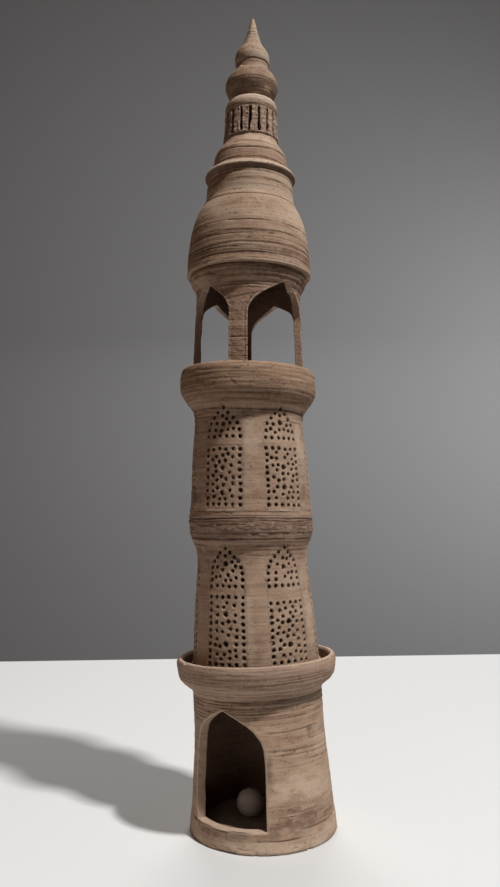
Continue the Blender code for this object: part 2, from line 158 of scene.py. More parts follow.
class Surface:
    """Relief in mm (outwards), and how stained, washed brown and worn pale the clay is, over a section; the same marks
    also carry painted shade and painted light in places.
    """

    def __init__(self, azimuth, height, seed, wobble=0.22, ridges=0.11, drag=0.05, grain=0.035):
        self.azimuth, self.height, self.seed = azimuth, height, seed
        self.relief = wobble * noise(seed, azimuth, height, 5, 26.0)
        self.relief += ridges * noise(seed + 1, azimuth, height, 6, 2.7)
        self.relief += drag * noise(seed + 2, azimuth, height, 13, 1.1)
        self.relief += grain * noise(seed + 3, azimuth, height, 230, 1.2)
        pits = ramp(noise(seed + 4, azimuth, height, 120, 2.1), 0.84, 0.95)
        self.relief -= 0.35 * pits
        streak = noise(seed + 5, azimuth, height, 7, 1.3) + 0.6 * noise(seed + 6, azimuth, height, 17, 0.8)
        broad = noise(seed + 11, azimuth, height, 6, 14.0) + 0.5 * noise(seed + 12, azimuth, height, 14, 5.0)
        self.stain = 0.12 * ramp(streak, 0.4, 1.1) + 0.5 * pits
        self.wash_and_shade = 0.55 * ramp(broad + 0.3 * streak, -0.15, 0.9)
        self.worn_and_lit = 0.25 * ramp(noise(seed + 7, azimuth, height, 9, 3.4), 0.3, 0.9)
        # Painted shade, partly a real brown wash: the side to the left of the front is browner and darker, most of all
        # on the upper half.
        shaded_brown_side = 1.0 - ramp(np.abs(turn_from(azimuth, -75.0)), 35.0, 75.0)
        self.wash_and_shade = np.maximum(self.wash_and_shade, (0.35 + 0.55 * ramp(height, 150.0, 230.0)) * shaded_brown_side)

    def line(self, height, width=0.45, depth=0.3, start=-180.0, end=180.0, slope=0.0, stain=0.8,
             broken=0.35, wander=0.35):
        """A line dragged round the clay, thinning out at its ends and in places, brown along one side."""
        seed = self.seed + int(height * 13) + int(start) + 1000
        middle, half = (start + end) / 2, (end - start) / 2
        rows = np.abs(self.height - height) < 4 * width + 2 * wander + abs(slope) * half + 2
        azimuth, at = self.azimuth[rows], np.full(int(rows.sum()), height)
        off = turn_from(azimuth, middle)
        course = height + slope * off + wander * noise(seed, azimuth, at, 9, 90.0)
        course += 0.3 * wander * noise(seed + 2, azimuth, at, 31, 90.0)
        there = 1.0 if half >= 179 else 1.0 - ramp(np.abs(off), 0.7 * half, half)
        gaps = 1.0 - broken * ramp(noise(seed + 1, azimuth, at, 29, 90.0), -0.3, 0.6)
        reach = self.height[rows] - course
        cut = np.exp(-((reach / width) ** 2)) * there * gaps
        self.relief[rows] -= depth * cut
        self.stain[rows] = np.maximum(self.stain[rows], stain * cut)
        tint = np.exp(-(((reach - width) / (1.7 * width)) ** 2)) * there * gaps
        self.wash_and_shade[rows] = np.maximum(self.wash_and_shade[rows], 0.5 * stain * tint)

    def drags(self, low, high, count, stain=0.7, depth=0.22, start=-180.0, end=180.0):
        """Scattered short lines that the fingers and the rib left while the clay turned."""
        rng = np.random.default_rng(self.seed + int(low * 7))
        for _ in range(count):
            middle, half = rng.uniform(start, end), rng.uniform(9, 60)
            self.line(
                rng.uniform(low, high), rng.uniform(0.22, 0.55), depth * rng.uniform(0.4, 1.3),
                middle - half, middle + half, slope=rng.normal(0, 0.008),
                stain=stain * rng.uniform(0.35, 1.0), broken=rng.uniform(0.1, 0.9),
            )

    def patch(self, azimuth, height, wide, tall, amount, kind="wash_and_shade", rough=0.6):
        """A brown wash, a dark stain or a pale scuff with a ragged edge."""
        off = turn_from(self.azimuth, azimuth) / wide
        up = (self.height - height) / tall
        ragged = rough * noise(self.seed + 8, self.azimuth, self.height, 44, 4.0)
        ragged += 0.5 * rough * noise(self.seed + 9, self.azimuth, self.height, 110, 0.9)
        there = amount * (1.0 - ramp(np.sqrt(off**2 + up**2) + ragged, 0.3, 1.2))
        setattr(self, kind, np.maximum(getattr(self, kind), there))
        if kind != "wash_and_shade":
            self.wash_and_shade = self.wash_and_shade * (1 - there)

    def marks(self):
        return {"stain": self.stain, "wash_and_shade": self.wash_and_shade, "worn_and_lit": self.worn_and_lit}

    def chips(self, mask, depth=0.7, rarity=0.5, cells=70, tall=2.2):
        """Small bites out of an edge, pale where the clay broke."""
        bites = ramp(noise(self.seed + 10, self.azimuth, self.height, cells, tall), rarity, rarity + 0.3)
        self.relief -= depth * bites * mask
        self.worn_and_lit = np.maximum(self.worn_and_lit, 0.7 * bites * mask)


def write_mesh(name, points, faces, marks, clay, nodes):
    """An object from points in mm, with the marks on its clay as attributes."""
    mesh = bpy.data.meshes.new(name)
    placed = bow(points) * MM
    sizes = np.concatenate([np.full(len(group), group.shape[1]) for group in faces])
    corners = np.concatenate([group.ravel() for group in faces]).astype(np.int32)
    mesh.vertices.add(len(placed))
    mesh.vertices.foreach_set("co", placed.astype(np.float32).ravel())
    mesh.loops.add(len(corners))
    mesh.loops.foreach_set("vertex_index", corners)
    mesh.polygons.add(len(sizes))
    starts = np.concatenate([[0], np.cumsum(sizes)[:-1]]).astype(np.int32)
    mesh.polygons.foreach_set("loop_start", starts)
    mesh.update(calc_edges=True)
    mesh.validate()
    for key, amounts in marks.items():
        layer = mesh.attributes.new(key, "FLOAT", "POINT")
        layer.data.foreach_set("value", np.clip(amounts, 0.0, 1.0).astype(np.float32))
    mesh.shade_smooth()
    mesh.set_sharp_from_angle(angle=math.radians(50))
    mesh.materials.append(clay)
    piece = bpy.data.objects.new(name, mesh)
    bpy.context.scene.collection.objects.link(piece)
    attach(piece, "root")
    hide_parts(*nodes)
    return piece


def smooth_run(points, spacing):
    """Points at an even spacing along a smooth curve through the given (radius, height) points."""
    points = np.array(points, float)
    if len(points) == 2:
        count = max(2, int(np.ceil(np.linalg.norm(points[1] - points[0]) / spacing)) + 1)
        share = np.linspace(0, 1, count)[:, None]
        return points[0] * (1 - share) + points[1] * share
    steps = np.linalg.norm(np.diff(points, axis=0), axis=1)
    along = np.concatenate([[0], np.cumsum(steps)])
    slopes = np.diff(points, axis=0) / steps[:, None]
    tangents = np.vstack(
        [slopes[:1], (slopes[:-1] * steps[1:, None] + slopes[1:] * steps[:-1, None]) / (steps[1:] + steps[:-1])[:, None], slopes[-1:]]
    )
    at = np.linspace(0, along[-1], int(np.ceil(along[-1] / spacing)) + 1)
    k = np.clip(np.searchsorted(along, at, side="right") - 1, 0, len(steps) - 1)
    h = steps[k][:, None]
    t = ((at - along[k]) / steps[k])[:, None]
    return (
        (2 * t**3 - 3 * t**2 + 1) * points[k]
        + (t**3 - 2 * t**2 + t) * h * tangents[k]
        + (3 * t**2 - 2 * t**3) * points[k + 1]
        + (t**3 - t**2) * h * tangents[k + 1]
    )


def thrown(name, runs, detail, clay, nodes, spacing=0.6, around=264, seed=1):
    """A turned section. Its profile is a list of runs, each a smooth curve through (radius, height) points
    down the outer side and back up the inner one; runs meet at sharp corners. detail(surface)
    adds this section's own marks."""
    parts = []
    for number, run in enumerate(runs):
        fine = spacing if number < len(runs) - 1 or len(runs) == 1 else 3.0
        part = smooth_run(run, fine)
        parts.append(part if number == 0 else part[1:])
    profile = np.vstack(parts)
    inner_from = len(profile) - len(parts[-1]) if len(runs) > 1 else len(profile)
    on_axis = profile[0, 0] < 0.05
    closed = not on_axis
    if closed and np.allclose(profile[0], profile[-1]):
        profile = profile[:-1]
    count = len(profile)
    before = np.roll(profile, 1, axis=0)
    after = np.roll(profile, -1, axis=0)
    if on_axis:
        before[0], after[-1] = profile[0], profile[-1]
    way = after - before
    way /= np.maximum(np.linalg.norm(way, axis=1), 1e-9)[:, None]
    normal = np.column_stack([-way[:, 1], way[:, 0]])
    lengths = np.concatenate([[0], np.cumsum(np.linalg.norm(np.diff(profile, axis=0), axis=1))])

    azimuths = np.arange(around) * 360.0 / around
    azimuth = np.tile(azimuths, count)
    # The relief is laid out by the distance along the profile, so that it holds on level faces too.
    height = np.repeat(profile[0, 1] - lengths, around)
    surface = Surface(azimuth, height, seed)
    surface.radius = np.repeat(profile[:, 0], around)
    surface.level = np.repeat(profile[:, 1], around)
    surface.inside = np.repeat(np.arange(count) >= inner_from, around)
    detail(surface)
    calm = np.clip(surface.radius / 4.0, 0.0, 1.0)
    relief = surface.relief * calm
    radius = np.maximum(surface.radius + np.repeat(normal[:, 0], around) * relief, 0.0)
    level = surface.level + np.repeat(normal[:, 1], around) * relief
    points = on_tower(azimuth, radius, level)

    rows = np.arange(count)
    column, beside = np.arange(around), (np.arange(around) + 1) % around
    grid = rows[:, None] * around
    upper, lower = (grid[:-1], grid[1:]) if on_axis else (grid, np.roll(grid, -1, axis=0))
    quads = np.stack(
        [upper + column, lower + column, lower + beside, upper + beside], axis=-1
    ).reshape(-1, 4)
    faces = [quads]
    marks = surface.marks()
    if on_axis:
        # The ring at each end on the axis closes in a fan.
        for row, flip in ((0, False), (count - 1, True)):
            centre = np.full(around, len(points))
            points = np.vstack([points, [[0.0, 0.0, profile[row, 1]]]])
            marks = {key: np.append(amounts, 0.0) for key, amounts in marks.items()}
            a, b = row * around + column, row * around + beside
            faces.append(np.stack([centre, b, a] if flip else [centre, a, b], axis=-1))
    return write_mesh(name, points, faces, marks, clay, nodes)


def skin_radius(skin, height):
    heights, radii = zip(*skin)
    return np.interp(height, heights, radii)


def pointed_arch(left, right, spring, shoulder, apex, steps=9):
    """The head of a pointed opening from its left springing to its right one, as (azimuth, height)."""
    middle, half = (left + right) / 2, (right - left) / 2
    reach = 0.74
    bend = spring + 0.82 * (shoulder - spring)
    curve = []
    for i in range(steps + 1):
        t = i / steps
        side = (1 - t) ** 2 + 2 * t * (1 - t) + t * t * reach
        curve.append((side, (1 - t) ** 2 * spring + 2 * t * (1 - t) * bend + t * t * shoulder))
    left_side = [(middle - half * side, height) for side, height in curve]
    right_side = [(middle + half * side, height) for side, height in reversed(curve)]
    return left_side + [(middle, apex)] + right_side


def opening_loop(opening):
    """A pointed opening's outline, run anticlockwise as seen from outside."""
    head = pointed_arch(
        opening["left"], opening["right"], opening["spring"], opening["shoulder"], opening["apex"]
    )
    return [(opening["left"], opening["foot"]), (opening["right"], opening["foot"])] + head[::-1]


def resampled(loop, spacing, scale):
    """A loop's points with none further apart than the spacing, keeping its corners."""
    points = []
    for (a0, z0), (a1, z1) in zip(loop, loop[1:] + loop[:1]):
        pieces = max(1, int(np.ceil(math.hypot((a1 - a0) * scale, z1 - z0) / spacing)))
        points += [(a0 + (a1 - a0) * k / pieces, z0 + (z1 - z0) * k / pieces) for k in range(pieces)]
    return points


def distance_to_loop(azimuth, height, loop, scale):
    """Signed distance in mm from points on the unrolled wall to a loop, negative inside it."""
    x, y = azimuth * scale, height
    best = np.full(len(x), 1e9)
    inside = np.zeros(len(x), bool)
    for (a0, z0), (a1, z1) in zip(loop, loop[1:] + loop[:1]):
        x0, y0, x1, y1 = a0 * scale, z0, a1 * scale, z1
        dx, dy = x1 - x0, y1 - y0
        t = np.clip(((x - x0) * dx + (y - y0) * dy) / max(dx * dx + dy * dy, 1e-12), 0, 1)
        best = np.minimum(best, np.hypot(x - x0 - t * dx, y - y0 - t * dy))
        crosses = (y0 > y) != (y1 > y)
        inside ^= crosses & (x < x0 + (y - y0) * dx / (dy if dy else 1e-12))
    return np.where(inside, -best, best)


def triangulated(points, loops, scale, squeeze, keep):
    """Triangles over points on the unrolled wall that follow the loops' edges; keep() picks them by
    their centres."""
    flat = [Vector((a * scale, z * squeeze)) for a, z in points]
    edges = []
    for loop in loops:
        edges += [(a, b) for a, b in zip(loop, loop[1:] + loop[:1])]
    made = delaunay_2d_cdt(flat, edges, [], 0, 1e-7)
    source = np.array([origins[0] for origins in made[3]])
    triangles = source[np.array(made[2])]
    spots = np.array(points)
    centres = spots[triangles].mean(axis=1)
    return triangles[keep(centres[:, 0], centres[:, 1])]


def grid_points(low, high, left, right, across, up, blocked, clear):
    """Staggered points over a stretch of wall, clear of the blocked ones."""
    tree = kdtree.KDTree(len(blocked))
    for number, (x, y) in enumerate(blocked):
        tree.insert((x, y, 0.0), number)
    tree.balance()
    found = []
    rows = int(round((high - low) / up))
    for row in range(1, rows):
        z = low + (high - low) * row / rows
        count = int(round((right - left) / across))
        for k in range(count + 1):
            a = left + (right - left) * (k + (0.5 if row % 2 else 0.0)) / count
            if left < a < right and tree.find((a, z, 0.0))[2] > clear:
                found.append((a, z))
    return found


def wall(name, skin, thickness, detail, clay, nodes, outline=None, openings=(), holes=(),
         foot=None, fine=1.0, fine_up=0.62, seed=1, levels=(0.0, 0.07, 0.3, 0.6, 0.86, 1.0)):
    """A pierced wall. It is a whole ring unless it has an outline; openings are loops, holes are
    (azimuth, height, radius), and foot(azimuth) is the height of a ring's lower edge."""
    low, high = skin[0][0], skin[-1][0]
    scale = math.pi / 180.0 * float(np.mean([radius for _, radius in skin]))
    squeeze = fine / fine_up
    points, loops, rings, seams = [], [], [], []

    def add_loop(loop):
        first = len(points)
        points.extend(loop)
        loops.append(list(range(first, len(points))))
        return loops[-1]

    if outline is None:
        count = int(round(360.0 * scale / fine))
        rows = int(round((high - low) / fine_up))
        if foot is None:
            foot = np.vectorize(lambda azimuth: low)
        bottom = [(-180.0 + 360.0 * k / count, float(foot(-180.0 + 360.0 * k / count))) for k in range(count)]
        right = [(180.0, low + (high - low) * k / rows) for k in range(rows)]
        top = [(180.0 - 360.0 * k / count, high) for k in range(count)]
        left = [(-180.0, high - (high - low) * k / rows) for k in range(rows)]
        rim = add_loop(bottom + right + top + left)
        rings.append((rim[: count + 1], True, False))
        rings.append((rim[count + rows : 2 * count + rows + 1], True, False))
        # Each point of the right seam is the one across from it on the left.
        left_seam = [rim[0]] + rim[2 * count + rows :][::-1]
        right_seam = rim[count : count + rows + 1]
        left_seam = [rim[0]] + list(reversed(rim[2 * count + rows + 1 :])) + [rim[2 * count + rows]]
        seams = list(zip(right_seam, left_seam))
    else:
        rings.append((add_loop(resampled(outline, fine, scale)), True, True))
    for loop in openings:
        rings.append((add_loop(resampled(loop, fine, scale)), False, True))
    for azimuth, height, radius in holes:
        rng = np.random.default_rng(int(abs(azimuth) * 977 + height * 31))
        turns = np.arange(11) * math.tau / 11 + rng.uniform(0, 1)
        reach = radius * (1 + rng.uniform(-0.09, 0.09, 11))
        spots = [
            (azimuth + r * math.cos(t) / scale, height + r * math.sin(t)) for r, t in zip(reach, turns)
        ]
        rings.append((add_loop(spots), False, True))

    def keep(azimuth, height):
        kept = np.ones(len(azimuth), bool)
        if outline is None:
            kept &= height > foot(azimuth)
        else:
            kept &= distance_to_loop(azimuth, height, outline, scale) < 0
        for loop in openings:
            kept &= distance_to_loop(azimuth, height, loop, scale) > 0
        if holes:
            tree = kdtree.KDTree(len(holes))
            for number, (a, z, _) in enumerate(holes):
                tree.insert((a * scale, z, 0.0), number)
            tree.balance()
            for k, (a, z) in enumerate(zip(azimuth * scale, height)):
                _, number, away = tree.find((a, z, 0.0))
                if away < holes[number][2] * 0.93:
                    kept[k] = False
        return kept

    edge_count = len(points)
    spans = np.array(points)
    left, right = (-180.0, 180.0) if outline is None else (spans[:, 0].min(), spans[:, 0].max())
    bottom, top = (low, high) if outline is None else (spans[:, 1].min(), spans[:, 1].max())
    sheets = []
    for across, up, clear in ((fine, fine_up, 0.55), (4.0, 4.0, 2.2)):
        flat = [(a * scale / across, z / up) for a, z in points[:edge_count]]
        inner = grid_points(
            bottom / up, top / up, left * scale / across, right * scale / across, 1.0, 1.0, flat, clear
        )
        spots = points[:edge_count] + [(x * across / scale, y * up) for x, y in inner]
        sheets.append((np.array(spots), triangulated(spots, loops, scale, squeeze, keep)))

    (outer, outer_faces), (inner, inner_faces) = sheets
    merge = {right: left for right, left in seams}
    surface = Surface(outer[:, 0], outer[:, 1], seed)
    surface.radius = skin_radius(skin, outer[:, 1])
    surface.scale = scale
    detail(surface)
    outer_radius = surface.radius + surface.relief
    inner_radius = skin_radius(skin, inner[:, 1]) - thickness
    inner_radius = inner_radius + 0.5 * noise(seed + 20, inner[:, 0], inner[:, 1], 9, 7.0)
    stacks = [on_tower(outer[:, 0], outer_radius, outer[:, 1])]
    marks = {key: [amounts] for key, amounts in surface.marks().items()}
    offset_inner = len(outer)
    stacks.append(on_tower(inner[:, 0], inner_radius, inner[:, 1]))
    # Painted shade: the inner side is stained and washed darker all over.
    for key, amount in (("stain", 0.2), ("wash_and_shade", 0.6), ("worn_and_lit", 0.0)):
        marks[key].append(np.full(len(inner), amount))

    def joined(indices):
        return np.array([merge.get(int(k), int(k)) for k in indices.ravel()]).reshape(indices.shape)

    faces = [joined(outer_faces), joined(inner_faces)[:, ::-1] + offset_inner]
    base = offset_inner + len(inner)
    for ring, is_rim, is_closed in rings:
        ring = np.array(ring)
        ids = joined(ring)
        starts = [ids]
        a, z = outer[ring, 0], outer[ring, 1]
        r_out, r_in = outer_radius[ids], inner_radius[ids]
        small = not is_rim and len(ring) == 11
        for level in (levels if not small else (0.0, 0.12, 1.0))[1:-1]:
            radius = r_out + (r_in - r_out) * level
            if not small:
                radius = radius + 0.12 * noise(seed + 21, a * 3, z + level * 40, 60, 1.5)
            stacks.append(on_tower(a, radius, z))
            # The cut faces: painted shade stains the insides of the small holes and washes every face a little brown;
            # the faces are worn pale, and the lowest ones, which face up, are paler still as painted light.
            marks["stain"].append(np.full(len(ring), 0.5 if small else 0.0))
            marks["wash_and_shade"].append(np.full(len(ring), 0.3))
            pale = np.where(z < z.min() + 1.5, 0.75, 0.3)
            marks["worn_and_lit"].append(pale + 0.25 * noise(seed + 22, a, z + level * 9, 50, 1.5))
            fresh = base + np.arange(len(ring))
            if not is_closed:
                fresh[-1] = fresh[0]
            starts.append(fresh)
            base += len(ring)
        starts.append(ids + offset_inner)
        for above, below in zip(starts, starts[1:]):
            if is_closed:
                a0, a1, b0, b1 = above, np.roll(above, -1), below, np.roll(below, -1)
            else:
                a0, a1, b0, b1 = above[:-1], above[1:], below[:-1], below[1:]
            quads = np.stack([a0, a1, b1, b0] if not is_rim else [a1, a0, b0, b1], axis=-1)
            faces.append(quads)
    points = np.vstack(stacks)
    used = np.unique(np.concatenate([group.ravel() for group in faces]))
    lookup = np.zeros(len(points), int)
    lookup[used] = np.arange(len(used))
    faces = [lookup[group] for group in faces]
    marks = {key: np.concatenate(amounts)[used] for key, amounts in marks.items()}
    return write_mesh(name, points[used], faces, marks, clay, nodes)


# Materials

def clay_material(name, buff, brown, dark, pale, streaks=0.5, grain=1.0):
    """Unglazed fired clay: blotches, drag streaks round the tower and grain, tinted by the brown wash and
    stain attributes and lightened by the worn one; these also carry painted shade and painted light."""
    material = bpy.data.materials.new(name)
    material.use_nodes = True
    tree = material.node_tree
    nodes, links = tree.nodes, tree.links
    shader = nodes["Principled BSDF"]
    shader.inputs["Metallic"].default_value = 0.0
    shader.inputs["Specular IOR Level"].default_value = 0.22
    place = nodes.new("ShaderNodeTexCoord").outputs["Object"]

    def stretched(x, y, z):
        scaled = nodes.new("ShaderNodeMapping")
        scaled.inputs["Scale"].default_value = (x, y, z)
        links.new(place, scaled.inputs["Vector"])
        return scaled.outputs["Vector"]

    def cloud(vector, scale, detail, roughness=0.55, distortion=0.0):
        made = nodes.new("ShaderNodeTexNoise")
        made.inputs["Scale"].default_value = scale
        made.inputs["Detail"].default_value = detail
        made.inputs["Roughness"].default_value = roughness
        made.inputs["Distortion"].default_value = distortion
        links.new(vector, made.inputs["Vector"])
        return made.outputs["Fac"]

    def remap(value, low, high, out_low=0.0, out_high=1.0):
        made = nodes.new("ShaderNodeMapRange")
        made.inputs["From Min"].default_value = low
        made.inputs["From Max"].default_value = high
        made.inputs["To Min"].default_value = out_low
        made.inputs["To Max"].default_value = out_high
        links.new(value, made.inputs["Value"])
        return made.outputs["Result"]

    def arithmetic(kind, first, second):
        made = nodes.new("ShaderNodeMath")
        made.operation = kind
        for socket, value in zip(made.inputs, (first, second)):
            if isinstance(value, (int, float)):
                socket.default_value = value
            else:
                links.new(value, socket)
        return made.outputs["Value"]

    def mixed(amount, first, second):
        made = nodes.new("ShaderNodeMix")
        made.data_type = "RGBA"
        made.clamp_factor = True
        links.new(amount, made.inputs[0])
        for socket, colour in ((made.inputs[6], first), (made.inputs[7], second)):
            if isinstance(colour, tuple):
                socket.default_value = (*colour, 1.0)
            else:
                links.new(colour, socket)
        return made.outputs[2]

    def attribute(key):
        made = nodes.new("ShaderNodeAttribute")
        made.attribute_name = key
        return made.outputs["Fac"]

    blotch = cloud(stretched(1, 1, 1.8), 46.0, 5.0, 0.62, 0.4)
    mottle = cloud(place, 260.0, 4.0, 0.6, 0.6)
    streak = cloud(stretched(16, 16, 560), 1.0, 4.0, 0.65, 0.5)
    hairline = cloud(stretched(45, 45, 1800), 1.0, 2.0, 0.5, 0.3)
    grit = cloud(place, 1500.0, 2.0)
    speck = cloud(place, 620.0, 1.0)
    stain, wash_and_shade, worn_and_lit = attribute("stain"), attribute("wash_and_shade"), attribute("worn_and_lit")

    # The wash lies thicker in the drag lines and where the clay is mottled.
    patchy = arithmetic("MULTIPLY", remap(streak, 0.36, 0.66, 0.55, 1.3), remap(mottle, 0.34, 0.66, 0.55, 1.35))
    colour = mixed(remap(blotch, 0.4, 0.62, 0.0, 0.45), buff, brown)
    colour = mixed(arithmetic("MULTIPLY", wash_and_shade, patchy), colour, brown)
    streaked = arithmetic("MULTIPLY", remap(streak, 0.52, 0.7), remap(blotch, 0.42, 0.6, 0.0, streaks))
    colour = mixed(streaked, colour, dark)
    colour = mixed(remap(hairline, 0.52, 0.72, 0.0, 0.28), colour, brown)
    colour = mixed(remap(grit, 0.46, 0.7, 0.0, 0.3), colour, pale)
    colour = mixed(arithmetic("MULTIPLY", stain, remap(mottle, 0.3, 0.6, 0.7, 1.2)), colour, dark)
    colour = mixed(arithmetic("MULTIPLY", worn_and_lit, remap(mottle, 0.3, 0.6, 0.5, 1.0)), colour, pale)
    colour = mixed(remap(speck, 0.68, 0.76, 0.0, 0.7), colour, dark)
    links.new(colour, shader.inputs["Base Color"])
    links.new(remap(grit, 0.3, 0.7, 0.8, 0.97), shader.inputs["Roughness"])

    height = arithmetic("MULTIPLY", streak, 0.5)
    height = arithmetic("ADD", height, arithmetic("MULTIPLY", hairline, 0.35))
    height = arithmetic("ADD", height, arithmetic("MULTIPLY", mottle, 0.4))
    height = arithmetic("ADD", height, arithmetic("MULTIPLY", grit, 0.35))
    height = arithmetic("SUBTRACT", height, remap(speck, 0.66, 0.8, 0.0, 0.6))
    bump = nodes.new("ShaderNodeBump")
    bump.inputs["Strength"].default_value = 0.6 * grain
    bump.inputs["Distance"].default_value = 0.0007
    links.new(height, bump.inputs["Height"])
    links.new(bump.outputs["Normal"], shader.inputs["Normal"])
    return material


UMBER = (0.06, 0.03, 0.02)
SAND = (0.52, 0.40, 0.31)

base_clay = clay_material("base_clay_fired", (0.43, 0.31, 0.22), (0.26, 0.155, 0.105), UMBER, SAND)
dusty_clay = clay_material(
    "dusty_clay_fired", (0.5, 0.45, 0.42), (0.36, 0.3, 0.26), (0.2, 0.15, 0.12), (0.6, 0.56, 0.53), grain=1.4
)
gallery_clay = clay_material("gallery_clay_fired", (0.40, 0.285, 0.21), (0.26, 0.165, 0.115), UMBER, SAND)
upper_gallery_clay = clay_material("upper_gallery_clay_fired", (0.33, 0.215, 0.14), (0.23, 0.135, 0.085), UMBER, SAND)
storey_clay = clay_material(
    "storey_clay_fired", (0.385, 0.27, 0.195), (0.25, 0.145, 0.095), UMBER, SAND, streaks=0.35
)
lantern_clay = clay_material(
    "lantern_clay_fired", (0.29, 0.18, 0.125), (0.2, 0.115, 0.078), UMBER, SAND, streaks=0.3, grain=1.4
)
dome_clay = clay_material("dome_clay_fired", (0.43, 0.32, 0.235), (0.24, 0.135, 0.085), UMBER, SAND, streaks=0.5)
spire_clay = clay_material("spire_clay_fired", (0.4, 0.315, 0.245), (0.25, 0.15, 0.095), UMBER, SAND)
washed_clay = clay_material(
    "washed_clay_fired", (0.33, 0.225, 0.165), (0.21, 0.125, 0.09), UMBER, SAND, streaks=0.6, grain=1.5
)
stone = clay_material(
    "pale_stone_matt", (0.56, 0.51, 0.47), (0.42, 0.37, 0.33), (0.24, 0.2, 0.17), (0.66, 0.62, 0.58),
    streaks=0.1, grain=0.7,
)


# The base storey and its doorway

def base_marks(surface):
    door = distance_to_loop(surface.azimuth, surface.height, DOOR, surface.scale)
    edge = np.exp(-((door / 0.75) ** 2))
    surface.worn_and_lit = np.maximum(surface.worn_and_lit, 0.9 * edge)
    surface.relief -= 0.3 * np.exp(-((door / 0.5) ** 2))
    surface.relief += 0.3 * np.exp(-(((door - 1.1) / 0.6) ** 2))
    for height, stain, depth in (
        (95.2, 0.9, 0.3), (93.4, 0.7, 0.4), (91.2, 0.95, 0.45), (89.3, 0.6, 0.3), (87.6, 0.9, 0.45),
        (85.0, 0.6, 0.3), (83.2, 0.8, 0.35),
    ):
        surface.line(height, 0.34, depth, slope=0.006, stain=stain, broken=0.5, wander=0.8)
    surface.drags(78.0, 95.5, 26, stain=0.8, depth=0.35)
    surface.drags(20.0, 80.0, 40, stain=0.45, depth=0.2)
    surface.line(74.6, 0.4, 0.4, 2, 62, slope=0.01, stain=1.0, broken=0.05, wander=0.6)
    surface.line(61.6, 0.34, 0.35, 3, 122, slope=-0.035, stain=0.9, broken=0.1)
    surface.line(58.2, 0.34, 0.35, 3, 125, slope=-0.04, stain=0.85, broken=0.1)
    surface.line(52.9, 0.38, 0.35, 38, 132, slope=-0.05, stain=0.95, broken=0.1)
    surface.line(66.6, 0.3, 0.25, 40, 120, slope=-0.03, stain=0.7, broken=0.2)
    surface.line(66.0, 0.4, 0.25, 100, 290, slope=0.01, stain=0.6)
    surface.line(45.0, 0.4, 0.25, 110, 240, slope=-0.01, stain=0.6)
    surface.line(33.0, 0.4, 0.25, 120, 300, stain=0.6)
    for height, start, end in ((13.2, -80, -4), (8.0, -10, 34), (13.2, 24, 90), (9.6, 70, 160), (12.4, 140, 290)):
        surface.line(height, 0.36, 0.9, start, end, stain=0.95, broken=0.3, wander=1.6)
    surface.patch(30, 68, 34, 12, 0.7)
    surface.patch(28, 17, 34, 11, 0.95)
    surface.patch(34, 18, 24, 8, 0.42, "stain", rough=1.3)
    surface.patch(6, 50, 4, 14, 0.55, "stain", rough=0.3)
    surface.patch(46, 71, 4, 5, 0.7, "stain")
    surface.patch(14, 22, 14, 10, 0.8)
    surface.patch(-38, 9, 24, 4, 0.4, "stain", rough=1.0)
    surface.patch(-12, 11, 30, 3, 0.25, "stain", rough=1.0)
    surface.patch(0, 88, 70, 9, 0.6)
    surface.patch(150, 40, 34, 16, 0.8)
    surface.patch(205, 60, 30, 12, 0.8)
    surface.patch(-120, 30, 30, 16, 0.8)
    surface.patch(34, 38, 32, 8, 0.7, "worn_and_lit")
    surface.patch(62, 62, 16, 12, 0.4, "worn_and_lit")
    # The paler patch low on the right of the foot is partly worn clay and partly painted light.
    surface.patch(60, 8, 40, 6, 0.6, "worn_and_lit")
    surface.patch(-10, 4, 70, 4, 0.75, "worn_and_lit")
    foot = 1.0 - ramp(surface.height, 1.0, 4.5)
    surface.chips(foot, depth=1.1, rarity=0.3, cells=62, tall=3.0)


wall(
    "base_storey",
    BASE_SKIN,
    6.2,
    base_marks,
    base_clay,
    ["base_foot", "door_arch"] + ["base_wall_" + p for p in ("front_right", "right", "back", "back_left", "left")],
    openings=[DOOR],
    seed=11,
)


# The pierced storeys

def screen_of(screen, number):
    middle = screen["first"] + number * SCREEN_STEP
    return {**screen, "left": middle - SCREEN_HALF, "right": middle + SCREEN_HALF}


def head_half(opening, height):
    """Half the width in degrees of a pointed opening at a height."""
    head = pointed_arch(opening["left"], opening["right"], opening["spring"], opening["shoulder"], opening["apex"])
    left = head[: len(head) // 2 + 1]
    middle = (opening["left"] + opening["right"]) / 2
    return middle - np.interp(height, [z for _, z in left], [a for a, _ in left])


